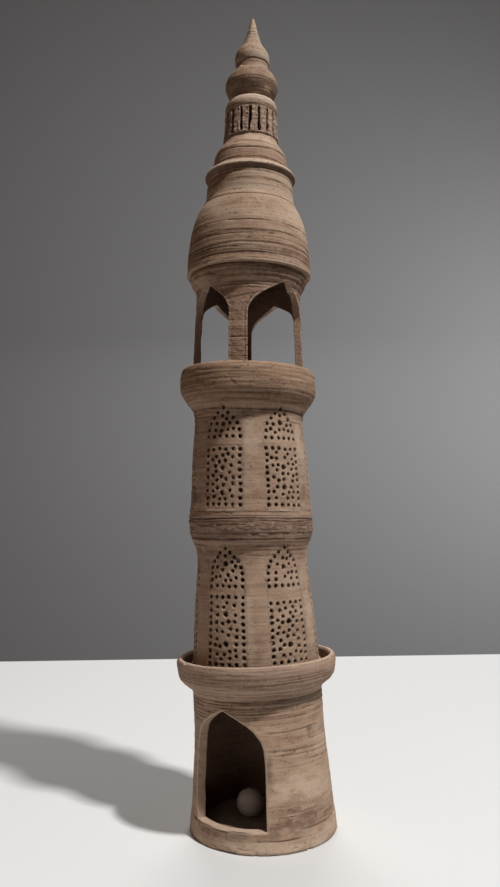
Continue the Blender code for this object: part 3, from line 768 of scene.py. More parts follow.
def screen_holes(opening, skin, bar, large, seed):
    """The holes of one screen as (azimuth, height, radius): a row inside the outline of its head and of
    its lower part, three larger ones on the centre line, and the rest scattered between."""
    rng = np.random.default_rng(seed)
    middle = (opening["left"] + opening["right"]) / 2
    scale = math.pi / 180.0 * float(skin_radius(skin, opening["spring"]))
    inset, pitch = 1.8, 4.5
    half = SCREEN_HALF * scale - inset
    spots = [(0.0, height) for height in large]
    sizes = [rng.uniform(1.85, 2.1) for _ in large]

    def along(points, closed):
        """Evenly spaced spots on a path in mm."""
        path = np.array(points)
        steps = np.linalg.norm(np.diff(path, axis=0), axis=1)
        total = steps.sum()
        count = int(round(total / pitch))
        at = np.linspace(0, total, count, endpoint=False) if closed else np.linspace(0, total, count + 1)
        where = np.concatenate([[0], np.cumsum(steps)])
        return np.column_stack([np.interp(at, where, path[:, 0]), np.interp(at, where, path[:, 1])])

    low, bar_low, bar_high = opening["foot"] + inset + 1.4, bar[0], bar[1]
    corners = [(-half, low), (half, low), (half, bar_low), (-half, bar_low)]
    sides = zip(corners, corners[1:] + corners[:1])
    rect = np.vstack([along([a, b], False)[:-1] for a, b in sides])
    heights = np.linspace(bar_high, opening["apex"] - 2.6, 30)
    inner = np.maximum(np.array([head_half(opening, z) for z in heights]) * scale - inset * 0.9, 0.0)
    right_side = list(zip(inner, heights))
    left_side = [(-x, z) for x, z in reversed(right_side)]
    head = np.vstack([along(right_side, False), along(left_side, False)[1:], along([(-half, bar_high), (half, bar_high)], False)[1:-1]])
    for x, z in np.vstack([rect, head]):
        spots.append((x + rng.uniform(-0.3, 0.3), z + rng.uniform(-0.3, 0.3)))
        sizes.append(rng.uniform(1.3, 1.54))
    for closest in (4.3, 3.95, 3.6):
        for _ in range(1500):
            x, z = rng.uniform(-half, half), rng.uniform(low, opening["apex"])
            if bar_low - 2.0 < z < bar_high + 2.0 or abs(x) > float(head_half(opening, z)) * scale - 3.6:
                continue
            away = min(
                math.hypot(x - a, z - b) - (0.8 if size > 1.8 else 0.0) for (a, b), size in zip(spots, sizes)
            )
            if away > closest:
                spots.append((x, z))
                sizes.append(rng.uniform(1.22, 1.52))
    return [(middle + x / scale, z, size) for (x, z), size in zip(spots, sizes)]


def storey(name, screen, skin, bars, larges, nodes, seed, lines):
    openings = [screen_of(screen, number) for number in range(6)]
    holes = []
    for number, opening in enumerate(openings):
        holes += screen_holes(opening, skin, bars[number % len(bars)], larges[number % len(larges)], seed + number)
    tree = kdtree.KDTree(len(holes))

    def marks(surface):
        for opening in openings:
            away = np.abs(turn_from(surface.azimuth, (opening["left"] + opening["right"]) / 2))
            near = away < SCREEN_HALF + 8
            middle = (opening["left"] + opening["right"]) / 2
            shifted = middle + turn_from(surface.azimuth[near], middle)
            off = distance_to_loop(shifted, surface.height[near], opening_loop(opening), surface.scale)
            cut = np.exp(-((off / 0.42) ** 2)) * (0.65 + 0.35 * noise(seed + 31, surface.azimuth[near], surface.height[near], 60, 5.0))
            surface.relief[near] -= 0.38 * cut + 0.25 * ramp(-off, 0.0, 1.2)
            surface.stain[near] = np.maximum(surface.stain[near], 0.7 * cut)
            # The clay that the foot of the cut pushed up stands as a lip below it.
            below = opening["foot"] - surface.height[near]
            lip = np.exp(-(((below - 0.9) / 0.55) ** 2)) * (1 - ramp(np.abs(turn_from(surface.azimuth[near], middle)), 16, 20))
            lip *= 0.6 + 0.4 * noise(seed + 32, surface.azimuth[near], surface.height[near], 90, 9.0)
            surface.relief[near] += 0.95 * lip
            # The lip is worn pale, partly as painted light along its edge.
            surface.worn_and_lit[near] = np.maximum(surface.worn_and_lit[near], 0.9 * lip)
            # Painted shadow: a dark band under the lip.
            shade_under = np.exp(-(((below - 2.0) / 0.5) ** 2)) * lip.max() * (
                1 - ramp(np.abs(turn_from(surface.azimuth[near], middle)), 15, 19)
            )
            surface.stain[near] = np.maximum(surface.stain[near], 0.6 * shade_under)
        for number, (azimuth, height, _) in enumerate(holes):
            tree.insert((azimuth * surface.scale, height, 0.0), number)
        tree.balance()
        burr = np.zeros(len(surface.azimuth))
        for k, (a, z) in enumerate(zip(surface.azimuth * surface.scale, surface.height)):
            _, number, away = tree.find((a, z, 0.0))
            burr[k] = away - holes[number][2]
        lean = 0.5 + 0.5 * noise(seed + 33, surface.azimuth, surface.height, 110, 3.0)
        rim = np.exp(-(((burr - 0.45) / 0.42) ** 2))
        surface.relief += 0.42 * rim * lean - 0.2 * np.exp(-((burr / 0.25) ** 2))
        # The raised burrs are worn pale and the hole edges darkened, partly as painted light and painted shade.
        surface.worn_and_lit = np.maximum(surface.worn_and_lit, 0.75 * rim * lean)
        surface.stain = np.maximum(surface.stain, 0.55 * np.exp(-((burr / 0.35) ** 2)) * (1.2 - lean))
        lines(surface)

    wrapped = [(turn_from(azimuth, 0.0), height, radius) for azimuth, height, radius in holes]
    wrapped = [hole for hole in wrapped if abs(abs(hole[0]) - 180.0) > 2.6]
    holes[:] = [(float(a), float(z), float(r)) for a, z, r in wrapped]
    return wall(name, skin, 5.0, marks, storey_clay, nodes, holes=holes, fine=1.05, fine_up=0.8, seed=seed)


def lower_lines(surface):
    surface.line(197.4, 0.6, 0.4, stain=0.9, broken=0.5, wander=0.8)
    surface.line(194.6, 0.4, 0.25, -60, 120, stain=0.7, wander=0.6)
    surface.line(191.0, 0.4, 0.2, -10, 70, stain=0.6)
    surface.drags(186.0, 199.0, 22, stain=0.7)
    surface.drags(110.0, 186.0, 52, stain=0.3, depth=0.14)
    surface.patch(-5, 150, 6, 32, 0.45, "worn_and_lit")
    surface.patch(62, 150, 8, 28, 0.5, "worn_and_lit")
    surface.patch(3, 130, 9, 16, 0.7)
    surface.patch(-72, 190, 30, 8, 0.45, "stain")
    surface.patch(0, 194, 180, 7, 0.8, rough=0.8)
    surface.patch(30, 184, 26, 7, 0.6)
    surface.patch(-85, 150, 22, 40, 0.8)
    surface.patch(150, 160, 40, 30, 0.7)
    surface.line(176.0, 0.3, 0.4, 6, 14, slope=-0.9, stain=1.0, broken=0.1)


def upper_lines(surface):
    surface.line(292.0, 0.6, 0.4, stain=0.95, broken=0.3, wander=0.9)
    surface.line(289.4, 0.4, 0.25, -60, 60, stain=0.6, wander=0.7)
    surface.line(276.5, 0.35, 0.25, -75, -38, stain=0.7, broken=0.2)
    surface.line(221.0, 0.5, 0.3, stain=0.7, broken=0.5, wander=0.8)
    surface.drags(284.0, 296.0, 18, stain=0.8)
    surface.drags(220.0, 284.0, 48, stain=0.3, depth=0.14)
    surface.patch(2, 266, 8, 22, 0.5, "worn_and_lit", rough=0.9)
    surface.patch(60, 268, 10, 20, 0.5, "worn_and_lit", rough=0.9)
    surface.patch(62, 240, 7, 12, 0.35, "stain", rough=1.1)
    surface.patch(4, 240, 6, 18, 0.8)
    surface.patch(1, 251, 1.6, 3.0, 0.9, "stain", rough=0.9)
    surface.patch(-74, 286, 12, 8, 0.6, "stain")
    surface.patch(-72, 230, 14, 8, 0.75, "stain")
    surface.patch(-80, 256, 18, 36, 0.9)
    surface.patch(30, 230, 50, 8, 0.7)
    surface.patch(170, 255, 40, 30, 0.7)


SCREEN_PLACES = ["front_left", "front_right", "right", "back_right", "back_left", "left"]
storey(
    "lower_storey", LOWER_SCREEN, LOWER_SKIN, [(163.2, 170.4), (158.6, 170.2)],
    [(132.4, 152.0, 185.4), (130.6, 146.2, 183.0)], ["lower_wall_" + p for p in SCREEN_PLACES], 40, lower_lines,
)
storey(
    "upper_storey", UPPER_SCREEN, UPPER_SKIN, [(263.6, 272.4), (264.6, 272.2)],
    [(233.6, 250.4, 281.2), (238.0, 251.8, 282.8)], ["upper_wall_" + p for p in SCREEN_PLACES], 60, upper_lines,
)


# The galleries and the band between the storeys

def edge_at(surface, radius, level, reach):
    """How near a point of a turned section is to an edge of its profile, from 0 to 1."""
    away = np.hypot(surface.radius - radius, surface.level - level)
    return 1.0 - ramp(away, 0.0, reach)


def outer_line(surface, level, width=0.4, depth=0.25, stain=0.7, **more):
    """A dragged line at a level of a turned section's outer side."""
    saved = surface.height
    surface.height = np.where(surface.inside, 1e4, surface.level)
    surface.line(level, width, depth, stain=stain, **more)
    surface.height = saved


def outer_drags(surface, low, high, count, **more):
    saved = surface.height
    surface.height = np.where(surface.inside, 1e4, surface.level)
    surface.drags(low, high, count, **more)
    surface.height = saved


def inner_shade(surface, wash_and_shade=0.8, stain=0.35):
    surface.wash_and_shade = np.where(surface.inside, np.maximum(surface.wash_and_shade, wash_and_shade), surface.wash_and_shade)
    surface.stain = np.where(surface.inside, np.maximum(surface.stain, stain), surface.stain)


def lower_gallery_marks(surface):
    rim = edge_at(surface, 54.4, LOWER_RIM, 1.9)
    surface.relief += 0.35 * noise(83, surface.azimuth, surface.level, 9, 90.0) * rim
    for level, depth, stain in (
        (117.4, 0.3, 0.5), (114.6, 0.35, 0.35), (111.8, 0.3, 0.8), (109.4, 0.45, 0.6), (106.9, 0.2, 0.6),
        (104.2, 0.3, 0.5), (101.2, 0.25, 0.7), (98.6, 0.3, 0.8),
    ):
        outer_line(surface, level, 0.55, depth, 0.75 * stain, broken=0.75, wander=0.9)
    outer_drags(surface, 97.0, 118.5, 30, stain=0.6)
    outside = ~surface.inside
    surface.wash_and_shade = np.maximum(surface.wash_and_shade, 0.6 * outside * ramp(
        noise(84, surface.azimuth, surface.level, 11, 9.0), -0.1, 0.7))
    inner_shade(surface)
    surface.worn_and_lit = np.where(rim > 0.2, np.maximum(surface.worn_and_lit, 0.85 * rim), surface.worn_and_lit)
    surface.wash_and_shade *= 1 - rim
    surface.chips(edge_at(surface, 55.4, LOWER_RIM - 0.4, 2.2), depth=0.9, rarity=0.4, cells=64, tall=2.5)
    nicks = ramp(noise(85, surface.azimuth, surface.level, 110, 2.0), 0.6, 0.85) * edge_at(surface, 55.6, 118.6, 2.0)
    surface.stain = np.maximum(surface.stain, 0.9 * nicks)
    surface.relief -= 0.5 * nicks


thrown(
    "lower_gallery",
    [
        [(53.4, LOWER_RIM - 0.2), (54.2, LOWER_RIM + 0.2), (55.2, LOWER_RIM - 0.1)],
        [
            (55.2, LOWER_RIM - 0.1), (56.3, 118.2), (57.0, 115.6), (56.7, 112.0), (56.1, 108.4), (55.3, 105.6),
            (53.0, 102.7), (49.3, 99.8), (46.9, 97.8), (46.2, BASE_TOP), (45.4, BASE_TOP - 0.8),
        ],
        [(45.4, BASE_TOP - 0.8), (40.0, BASE_TOP - 0.8)],
        [
            (40.0, BASE_TOP - 0.8), (40.0, LOWER_DECK - GAP), (51.4, LOWER_DECK - GAP), (52.4, 110.0),
            (52.6, 118.0), (53.4, LOWER_RIM - 0.2),
        ],
    ],
    lower_gallery_marks,
    gallery_clay,
    ["lower_gallery_deck", "lower_gallery_parapet"],
    around=300,
    seed=81,
)


def band_marks(surface):
    outer_line(surface, 216.2, 0.55, 0.8, 0.95, broken=0.25, wander=1.3)
    outer_line(surface, 214.6, 0.4, 0.4, 0.8, broken=0.5, wander=1.0)
    outer_line(surface, 205.8, 0.5, 0.3, 0.7, broken=0.6, wander=0.9)
    outer_line(surface, 202.0, 0.6, 0.45, 0.9, broken=0.6, wander=1.0)
    outer_drags(surface, 200.5, 217.5, 36, stain=0.9, depth=0.35)
    outside = ~surface.inside
    rubbed = ramp(surface.level, 203.5, 206.5) * (1 - ramp(surface.level, 213.0, 215.5)) * outside
    flaky = noise(93, surface.azimuth, surface.level, 58, 2.1) + 0.7 * noise(94, surface.azimuth, surface.level, 130, 0.9)
    surface.stain = np.maximum(surface.stain, rubbed * (0.22 + 0.45 * flaky))
    surface.relief += 0.42 * rubbed * flaky
    surface.worn_and_lit = np.maximum(surface.worn_and_lit, 0.55 * rubbed * ramp(flaky, 0.6, 1.1))
    surface.wash_and_shade = np.maximum(surface.wash_and_shade, 0.8 * outside * (1 - ramp(surface.level, 213.5, 216)))


thrown(
    "middle_band",
    [
        [
            (43.6, BAND_TOP + 0.9), (44.7, BAND_TOP - 0.3), (45.2, 216.6), (45.1, 213.5), (45.1, 209.0),
            (44.3, 204.7), (42.9, LOWER_TOP + GAP), (41.6, LOWER_TOP - 0.9),
        ],
        [(41.6, LOWER_TOP - 0.9), (37.6, LOWER_TOP - 0.9)],
        [(37.6, LOWER_TOP - 0.9), (39.2, 207.0), (39.2, BAND_TOP + 0.9), (43.6, BAND_TOP + 0.9)],
    ],
    band_marks,
    washed_clay,
    ["middle_band"],
    around=300,
    spacing=0.5,
    seed=90,
)


def upper_gallery_marks(surface):
    for level, width, depth, stain in (
        (321.9, 0.5, 0.3, 0.4), (318.7, 0.8, 0.55, 0.35), (315.0, 0.9, 0.6, 0.6), (311.6, 0.7, 0.4, 0.3),
        (308.6, 0.6, 0.3, 0.5), (305.2, 0.8, 0.45, 0.7), (301.6, 0.6, 0.35, 0.5), (298.6, 0.6, 0.45, 0.9),
    ):
        outer_line(surface, level, width, 0.7 * depth, 0.7 * stain, broken=0.75, wander=1.0)
    outer_drags(surface, 297.5, 323.0, 26, stain=0.6)
    pitted = ramp(noise(104, surface.azimuth, surface.level, 140, 1.5), 0.55, 0.8)
    surface.relief -= 0.25 * pitted
    surface.stain = np.maximum(surface.stain, 0.5 * pitted)
    outside = ~surface.inside
    rim = edge_at(surface, 46.4, UPPER_RIM, 1.6)
    # The outer side is washed a little brown all over and, as painted shade, browner towards the underside.
    surface.wash_and_shade = np.maximum(surface.wash_and_shade, outside * (0.3 + 0.6 * ramp(308.0 - surface.level, 0, 8)))
    inner_shade(surface)
    surface.worn_and_lit = np.maximum(surface.worn_and_lit, 0.45 * rim)
    surface.chips(edge_at(surface, 46.9, UPPER_RIM - 0.4, 2.0), depth=0.55, rarity=0.5)


thrown(
    "upper_gallery",
    [
        [
            (45.2, 323.5), (45.7, UPPER_RIM), (46.5, UPPER_RIM - 0.1), (48.5, 322.7), (49.5, 319.8), (49.9, 316.5),
            (50.0, 312.5), (49.3, 305.6), (46.8, 301.2), (43.5, UPPER_TOP + GAP), (42.4, UPPER_TOP - 0.9),
        ],
        [(42.4, UPPER_TOP - 0.9), (38.0, UPPER_TOP - 0.9)],
        [(38.0, UPPER_TOP - 0.9), (36.5, 305.0), (36.5, UPPER_DECK), (45.0, UPPER_DECK), (45.2, 323.5)],
    ],
    upper_gallery_marks,
    upper_gallery_clay,
    ["upper_gallery_deck", "upper_gallery_parapet"],
    around=300,
    seed=100,
)


# The lantern room

def sill_marks(surface):
    surface.wash_and_shade = np.maximum(surface.wash_and_shade, 0.5)


thrown(
    "lantern_sill_ring",
    [
        [(40.9, LANTERN_SILL + 0.2), (41.2, UPPER_DECK)],
        [(41.2, UPPER_DECK), (36.3, UPPER_DECK)],
        [(36.3, UPPER_DECK), (36.1, LANTERN_SILL + 0.2), (40.9, LANTERN_SILL + 0.2)],
    ],
    sill_marks,
    lantern_clay,
    ["lantern_sill"],
    around=160,
    seed=110,
)


def arch_after(place):
    """The head of the arch between a post and the next one to its right."""
    places = list(POSTS)
    following = POSTS[places[(places.index(place) + 1) % len(places)]]
    following += 360.0 if following < POSTS[place] else 0.0
    peak, apex = ARCH_PEAKS[place]
    left, right = POSTS[place] + POST_HALF, following - POST_HALF
    curve = smooth_run(ARCH_CURVE, 0.075)
    head = [(peak + (left - peak) * side, ARCH_SPRING + (apex - ARCH_SPRING) * rise) for side, rise in curve]
    return head + [
        (peak + (right - peak) * side, ARCH_SPRING + (apex - ARCH_SPRING) * rise) for side, rise in curve[-2::-1]
    ]


ARCHES = {place: arch_after(place) for place in POSTS}


def skirt_foot(azimuth):
    """The lower edge of the skirt, which the points of the arches cut into."""
    height = np.full(np.shape(azimuth), LANTERN_TOP + 0.03)
    for head in ARCHES.values():
        for wound in (-360.0, 0.0):
            along, heights = [a + wound for a, _ in head], [z for _, z in head]
            height = np.maximum(height, np.interp(azimuth, along, heights, left=0.0, right=0.0))
    return height


def below_top(side):
    """One side of an arch, cut off where it passes the top of the posts."""
    kept = []
    for (a0, z0), (a1, z1) in zip(side, side[1:]):
        if z0 <= LANTERN_TOP:
            kept.append((a0, z0))
        if min(z0, z1) < LANTERN_TOP < max(z0, z1):
            share = (LANTERN_TOP - z0) / (z1 - z0)
            kept.append((a0 + share * (a1 - a0), LANTERN_TOP))
    if side[-1][1] <= LANTERN_TOP:
        kept.append(side[-1])
    return kept


# Deeper score lines across each post, as (height, depth, darkness)
POST_SCORES = [
    (327.5, 0.3, 0.5), (331.0, 0.25, 0.4), (334.8, 0.35, 0.7), (341.2, 0.45, 0.95), (346.5, 0.2, 0.4),
    (353.6, 0.35, 0.7), (359.6, 0.5, 1.0), (365.5, 0.25, 0.5),
]


def lantern_post(number, place, middle):
    places = list(POSTS)
    wound = 360.0 if number == 0 else 0.0
    left_arch = [(a - wound, z) for a, z in ARCHES[places[number - 1]]]
    right_arch = ARCHES[place]
    left_side = below_top(left_arch[len(left_arch) // 2 :])
    right_side = below_top(right_arch[: len(right_arch) // 2 + 1])
    foot = [(middle - POST_HALF, LANTERN_SILL), (middle + POST_HALF, LANTERN_SILL)]
    outline = left_side + foot + right_side

    def marks(surface):
        away = -distance_to_loop(surface.azimuth, surface.height, outline, surface.scale)
        torn = 0.7 + 0.5 * noise(surface.seed + 30, surface.azimuth, surface.height, 120, 2.2)
        shank = 1 - ramp(surface.height, 372, 376)
        surface.relief += 0.5 * torn * np.exp(-(((away - 0.5) / 0.45) ** 2))
        groove = np.exp(-(((away - 1.6) / 0.4) ** 2)) * shank * ramp(surface.azimuth - middle, 0, 3)
        surface.relief -= 0.35 * groove
        surface.stain = np.maximum(surface.stain, 0.75 * groove * (0.6 + torn) / 1.3)
        surface.worn_and_lit = np.maximum(surface.worn_and_lit, 0.85 * torn * np.exp(-((away / 0.8) ** 2)))
        for height, depth, stain in POST_SCORES:
            surface.line(height + 0.7 * math.sin(number * 2.1 + height), 0.4, depth, stain=stain, broken=0.5)
        rough = noise(surface.seed + 31, surface.azimuth, surface.height, 150, 1.1)
        surface.relief += 0.16 * rough * shank
        surface.stain = np.maximum(surface.stain, 0.42 * ramp(rough, 0.1, 0.9) * shank)
        # Painted shade: the smooth band above the scored face, under the skirt, is washed brown.
        surface.wash_and_shade = np.maximum(surface.wash_and_shade, ramp(surface.height, 371, 375))
        surface.line(372.6, 0.5, 0.35, stain=0.8, broken=0.1, slope=0.13)
        clump = np.exp(-(((surface.height - 323.6) / 1.6) ** 2)) * ramp(2.6 - away, 0, 1.6)
        surface.relief += 0.9 * clump * torn
        surface.worn_and_lit = np.maximum(surface.worn_and_lit, 0.5 * clump)

    wall(
        "lantern_post_clay_" + place, LANTERN_SKIN, 4.8, marks, lantern_clay, ["lantern_post_" + place],
        outline=outline, fine=0.75, fine_up=0.6, seed=120 + number,
    )


for number, (place, middle) in enumerate(POSTS.items()):
    lantern_post(number, place, middle)


# The dome, the drum and the collar

LIP = 394.6
SKIRT_SKIN = [
    (LANTERN_TOP + 0.03, 38.6), (382.6, 39.3), (385.0, 40.8), (387.5, 42.2), (390.5, 43.3), (393.0, 43.7),
    (LIP + 0.6, 43.5),
]


def skirt_marks(surface):
    for height, stain in ((392.4, 0.5), (389.4, 0.6), (386.0, 0.5), (382.0, 0.7), (380.4, 0.5)):
        surface.line(height, 0.5, 0.3, stain=stain, broken=0.6, wander=0.7)
    surface.drags(380.0, 394.0, 22, stain=0.7)
    # Painted shade: the skirt, under the overhang of the dome, is washed brown all over.
    surface.wash_and_shade = np.maximum(surface.wash_and_shade, 0.85)
    # Painted shadow: a dark line just beneath the lip of the dome.
    surface.line(LIP - 0.7, 0.7, 0.3, stain=0.95, broken=0.15)
    pits = ramp(noise(131, surface.azimuth, surface.height, 60, 2.4), 0.62, 0.8) * ramp(surface.height, 384, 387)
    surface.relief -= 0.7 * pits
    surface.stain = np.maximum(surface.stain, 0.8 * pits)
    surface.patch(-62, 384, 18, 6, 0.4, "worn_and_lit")
    notch = np.exp(-(((surface.height - skirt_foot(surface.azimuth)) / 0.8) ** 2))
    surface.worn_and_lit = np.maximum(surface.worn_and_lit, 0.5 * notch * (skirt_foot(surface.azimuth) > LANTERN_TOP + 0.1))


wall(
    "dome_skirt_ring", SKIRT_SKIN, 5.0, skirt_marks, dome_clay, ["dome_skirt"],
    foot=skirt_foot, fine=0.9, fine_up=0.6, seed=130,
)


def dome_marks(surface):
    outer_drags(surface, 396.0, 414.0, 44, stain=0.85, depth=0.3)
    outer_drags(surface, 396.0, 418.0, 30, stain=0.9, depth=0.3, start=-120.0, end=20.0)
    outer_drags(surface, 412.0, 432.0, 12, stain=0.5, depth=0.2)
    outer_drags(surface, 430.0, 446.0, 10, stain=0.3, depth=0.15)
    outer_line(surface, 424.8, 0.45, 0.4, 0.9, broken=0.7, wander=0.6)
    outer_line(surface, 416.4, 0.4, 0.3, 0.6, broken=0.5, wander=0.6)
    outer_line(surface, 408.0, 0.5, 0.4, 0.9, broken=0.3, wander=0.6)
    outer_line(surface, 405.2, 0.4, 0.3, 0.8, broken=0.4, wander=0.5)
    outer_line(surface, 400.4, 0.5, 0.4, 0.9, broken=0.4, wander=0.6)
    outside = ~surface.inside
    surface.wash_and_shade = np.maximum(surface.wash_and_shade, outside * ramp(422.0 - surface.level, 0, 16) * 0.75)
    surface.wash_and_shade *= 1 - 0.7 * outside * ramp(surface.level, 426, 434)
    broad = ramp(noise(143, surface.azimuth, surface.level, 5, 12.0), 0.1, 0.8)
    surface.wash_and_shade = np.maximum(surface.wash_and_shade, 0.7 * broad * outside)
    surface.worn_and_lit = np.maximum(surface.worn_and_lit, 0.35 * outside * ramp(surface.level, 428, 438) * (1 - broad))
    # The lip is paler, partly worn and partly painted light.
    lip = edge_at(surface, 46.2, LIP + 0.9, 1.6)
    surface.worn_and_lit = np.maximum(surface.worn_and_lit, 0.5 * lip)
    surface.relief += 0.2 * noise(144, surface.azimuth, surface.level, 70, 3.0) * lip
    inner_shade(surface)


thrown(
    "dome",
    [
        [
            (34.2, DOME_TOP + 0.5), (35.0, DOME_TOP - 0.2), (37.3, 443.6), (40.1, 437.4), (42.9, 428.0),
            (44.5, 418.5), (45.5, 409.0), (45.8, 403.5), (45.7, 399.0), (46.1, 396.6), (46.2, LIP + 0.7),
        ],
        [(46.2, LIP + 0.7), (45.8, LIP + 0.1), (44.6, LIP - 0.1)],
        [(44.6, LIP - 0.1), (40.2, LIP - 0.1)],
        [
            (40.2, LIP - 0.1), (40.4, 409.0), (37.6, 427.0), (34.4, 437.0), (29.7, DOME_TOP + 0.5),
            (34.2, DOME_TOP + 0.5),
        ],
    ],
    dome_marks,
    dome_clay,
    ["dome_shell"],
    spacing=0.5,
    around=320,
    seed=141,
)


def drum_marks(surface):
    outer_line(surface, 459.8, 0.45, 0.4, 0.95, broken=0.6, wander=0.5)
    outer_line(surface, 458.2, 0.35, 0.25, 0.7, broken=0.8, wander=0.5)
    outer_line(surface, 465.2, 0.5, 0.3, 0.8, broken=0.4)
    outer_line(surface, 449.4, 0.5, 0.2, 0.6, broken=0.7, wander=0.7)
    outer_drags(surface, 449.0, 466.0, 14, stain=0.5)
    # The flared foot of the drum is paler, partly worn clay and partly painted light where it faces up.
    pale = ramp(surface.level, 448, 451) * (1 - ramp(surface.level, 453, 458))
    surface.worn_and_lit = np.maximum(surface.worn_and_lit, 0.5 * pale)
    inner_shade(surface)


thrown(
    "dome_drum_ring",
    [
        [(32.0, DRUM_TOP + 0.4), (32.4, 461.8), (32.8, 456.7), (33.5, 450.6), (35.0, DOME_TOP), (33.6, 446.0)],
        [(33.6, 446.0), (29.3, 446.0)],
        [(29.3, 446.0), (27.6, 454.0), (27.4, DRUM_TOP + 0.4), (32.0, DRUM_TOP + 0.4)],
    ],
    drum_marks,
    dome_clay,
    ["dome_drum"],
    around=240,
    seed=150,
)


def collar_marks(surface):
    rim = edge_at(surface, 34.0, 470.9, 2.0)
    surface.relief += 0.25 * noise(161, surface.azimuth, surface.level, 11, 90.0) * rim
    # Painted light, with some wear: the top of the rim is paler.
    surface.worn_and_lit = np.maximum(surface.worn_and_lit, 0.75 * ramp(surface.level, 470.3, 471.2) * (~surface.inside))
    surface.chips(edge_at(surface, 33.9, 470.6, 1.6), depth=0.9, rarity=0.55, cells=46)
    # Painted shade: the underside is washed brown and stained darker.
    shade_under = ramp(470.4 - surface.level, 0.0, 0.8) * (~surface.inside)
    surface.wash_and_shade = np.where(surface.level < 470.3, 1.0, 0.4 * surface.wash_and_shade)
    surface.stain = np.maximum(surface.stain, 0.45 * shade_under)


thrown(
    "collar",
    [
        [(25.0, COLLAR_TOP), (30.0, COLLAR_TOP), (32.6, 473.5), (34.1, 471.2)],
        [(34.1, 471.2), (34.0, 470.3), (33.2, 468.9), (32.0, 467.9), (31.4, DRUM_TOP - 0.2)],
        [(31.4, DRUM_TOP - 0.2), (26.0, DRUM_TOP - 0.2)],
        [(26.0, DRUM_TOP - 0.2), (25.0, COLLAR_TOP)],
    ],
    collar_marks,
    washed_clay,
    ["collar_disc"],
    spacing=0.4,
    around=240,
    seed=160,
)


# The spire

def neck_marks(surface):
    outer_line(surface, 485.4, 0.6, 0.55, 0.6, broken=0.3, wander=0.5)
    outer_line(surface, 477.2, 0.6, 0.4, 0.8, broken=0.4, wander=0.5)
    outer_line(surface, 490.6, 0.4, 0.25, 0.5, broken=0.7)
    outer_drags(surface, 476.0, 499.0, 26, stain=0.6, depth=0.25)
    outside = ~surface.inside
    surface.wash_and_shade = np.maximum(surface.wash_and_shade, 0.7 * outside * ramp(487.0 - surface.level, 0, 4))
    surface.patch(75, -10, 60, 14, 0.5)
    inner_shade(surface)


thrown(
    "neck",
    [
        [
            (19.6, NECK_TOP + 0.5), (20.6, 497.4), (22.4, 494.2), (24.9, 490.7), (26.6, 487.4), (27.6, 482.5),
            (28.2, 478.0), (29.4, COLLAR_TOP - 0.2),
        ],
        [(29.4, COLLAR_TOP - 0.2), (24.6, COLLAR_TOP - 0.2)],
        [
            (24.6, COLLAR_TOP - 0.2), (22.6, 484.0), (17.0, 494.0), (14.8, NECK_TOP + 0.5),
            (19.6, NECK_TOP + 0.5),
        ],
    ],
    neck_marks,
    dome_clay,
    ["neck_bell"],
    spacing=0.45,
    around=220,
    seed=170,
)

FLUTES = 18
FLUTE_FIRST = -3.0


def flute_marks(surface):
    outside = ~surface.inside & (surface.level < FLUTES_TOP - 0.05) & (surface.level > NECK_TOP - 0.05)
    step = 360.0 / FLUTES
    number = np.round((surface.azimuth - FLUTE_FIRST) / step)
    nothing = np.zeros_like(number)
    lean = 1.3 * noise(181, number * step, nothing, FLUTES, 90.0)
    wavy = 0.35 * noise(184, number * step, surface.level, FLUTES, 4.0)
    off = (surface.azimuth - FLUTE_FIRST - number * step + lean) * math.pi / 180.0 * 20.0
    away = np.abs(off + wavy + 0.06 * (surface.level - 510.0) * noise(185, number * step, nothing, FLUTES, 90.0))
    width = 1.0 + 0.3 * noise(186, number * step, surface.level, FLUTES, 5.0)
    ends = 0.9 * noise(182, number * step, nothing, FLUTES, 90.0)
    reach = ramp(surface.level, NECK_TOP + 1.0 + ends, NECK_TOP + 2.2 + ends)
    reach *= 1 - ramp(surface.level, FLUTES_TOP - 1.3, FLUTES_TOP - 0.3)
    slot = (1 - ramp(away, 0.75 * width, 1.25 * width)) * reach * outside
    lip = np.exp(-(((away - 1.65) / 0.4) ** 2)) * reach * outside
    ragged = noise(183, surface.azimuth, surface.level, 70, 1.2)
    surface.relief += -3.0 * slot + (0.35 * lip + 0.3 * outside) * (0.4 + ragged)
    # Painted shade: the slots are stained dark.
    surface.stain = np.maximum(surface.stain, slot)
    surface.worn_and_lit = np.maximum(surface.worn_and_lit * (1 - slot), 0.55 * ramp(ragged, 0.1, 0.8) * (1 - slot) * outside)
    crumbs = ramp(NECK_TOP + 6.0 - surface.level, 0, 5) * ramp(ragged, -0.3, 0.4) * outside
    surface.stain = np.maximum(surface.stain, 0.6 * crumbs)


thrown(
    "fluted_ring",
    [
        [(19.2, FLUTES_TOP + 0.2), (20.7, NECK_TOP + 1.2), (20.9, NECK_TOP + 0.3), (20.3, NECK_TOP - 0.3)],
        [(20.3, NECK_TOP - 0.3), (14.6, NECK_TOP - 0.3)],
        [(14.6, NECK_TOP - 0.3), (14.6, FLUTES_TOP + 0.2), (19.2, FLUTES_TOP + 0.2)],
    ],
    flute_marks,
    washed_clay,
    ["fluted_band"],
    spacing=0.4,
    around=480,
    seed=180,
)


def bead_marks(surface):
    # Painted shade and light: the lower half of the bead is washed brown and its upper face is paler.
    surface.wash_and_shade = np.maximum(0.3 * surface.wash_and_shade, ramp(525.0 - surface.level, 0, 1.2))
    surface.worn_and_lit = np.maximum(surface.worn_and_lit, 0.5 * ramp(surface.level, 525.5, 527.5))
    surface.chips(edge_at(surface, 19.4, FLUTES_TOP + 0.4, 1.4), depth=0.5, rarity=0.4, cells=50)
    outer_drags(surface, 522.0, 531.0, 10, stain=0.6)


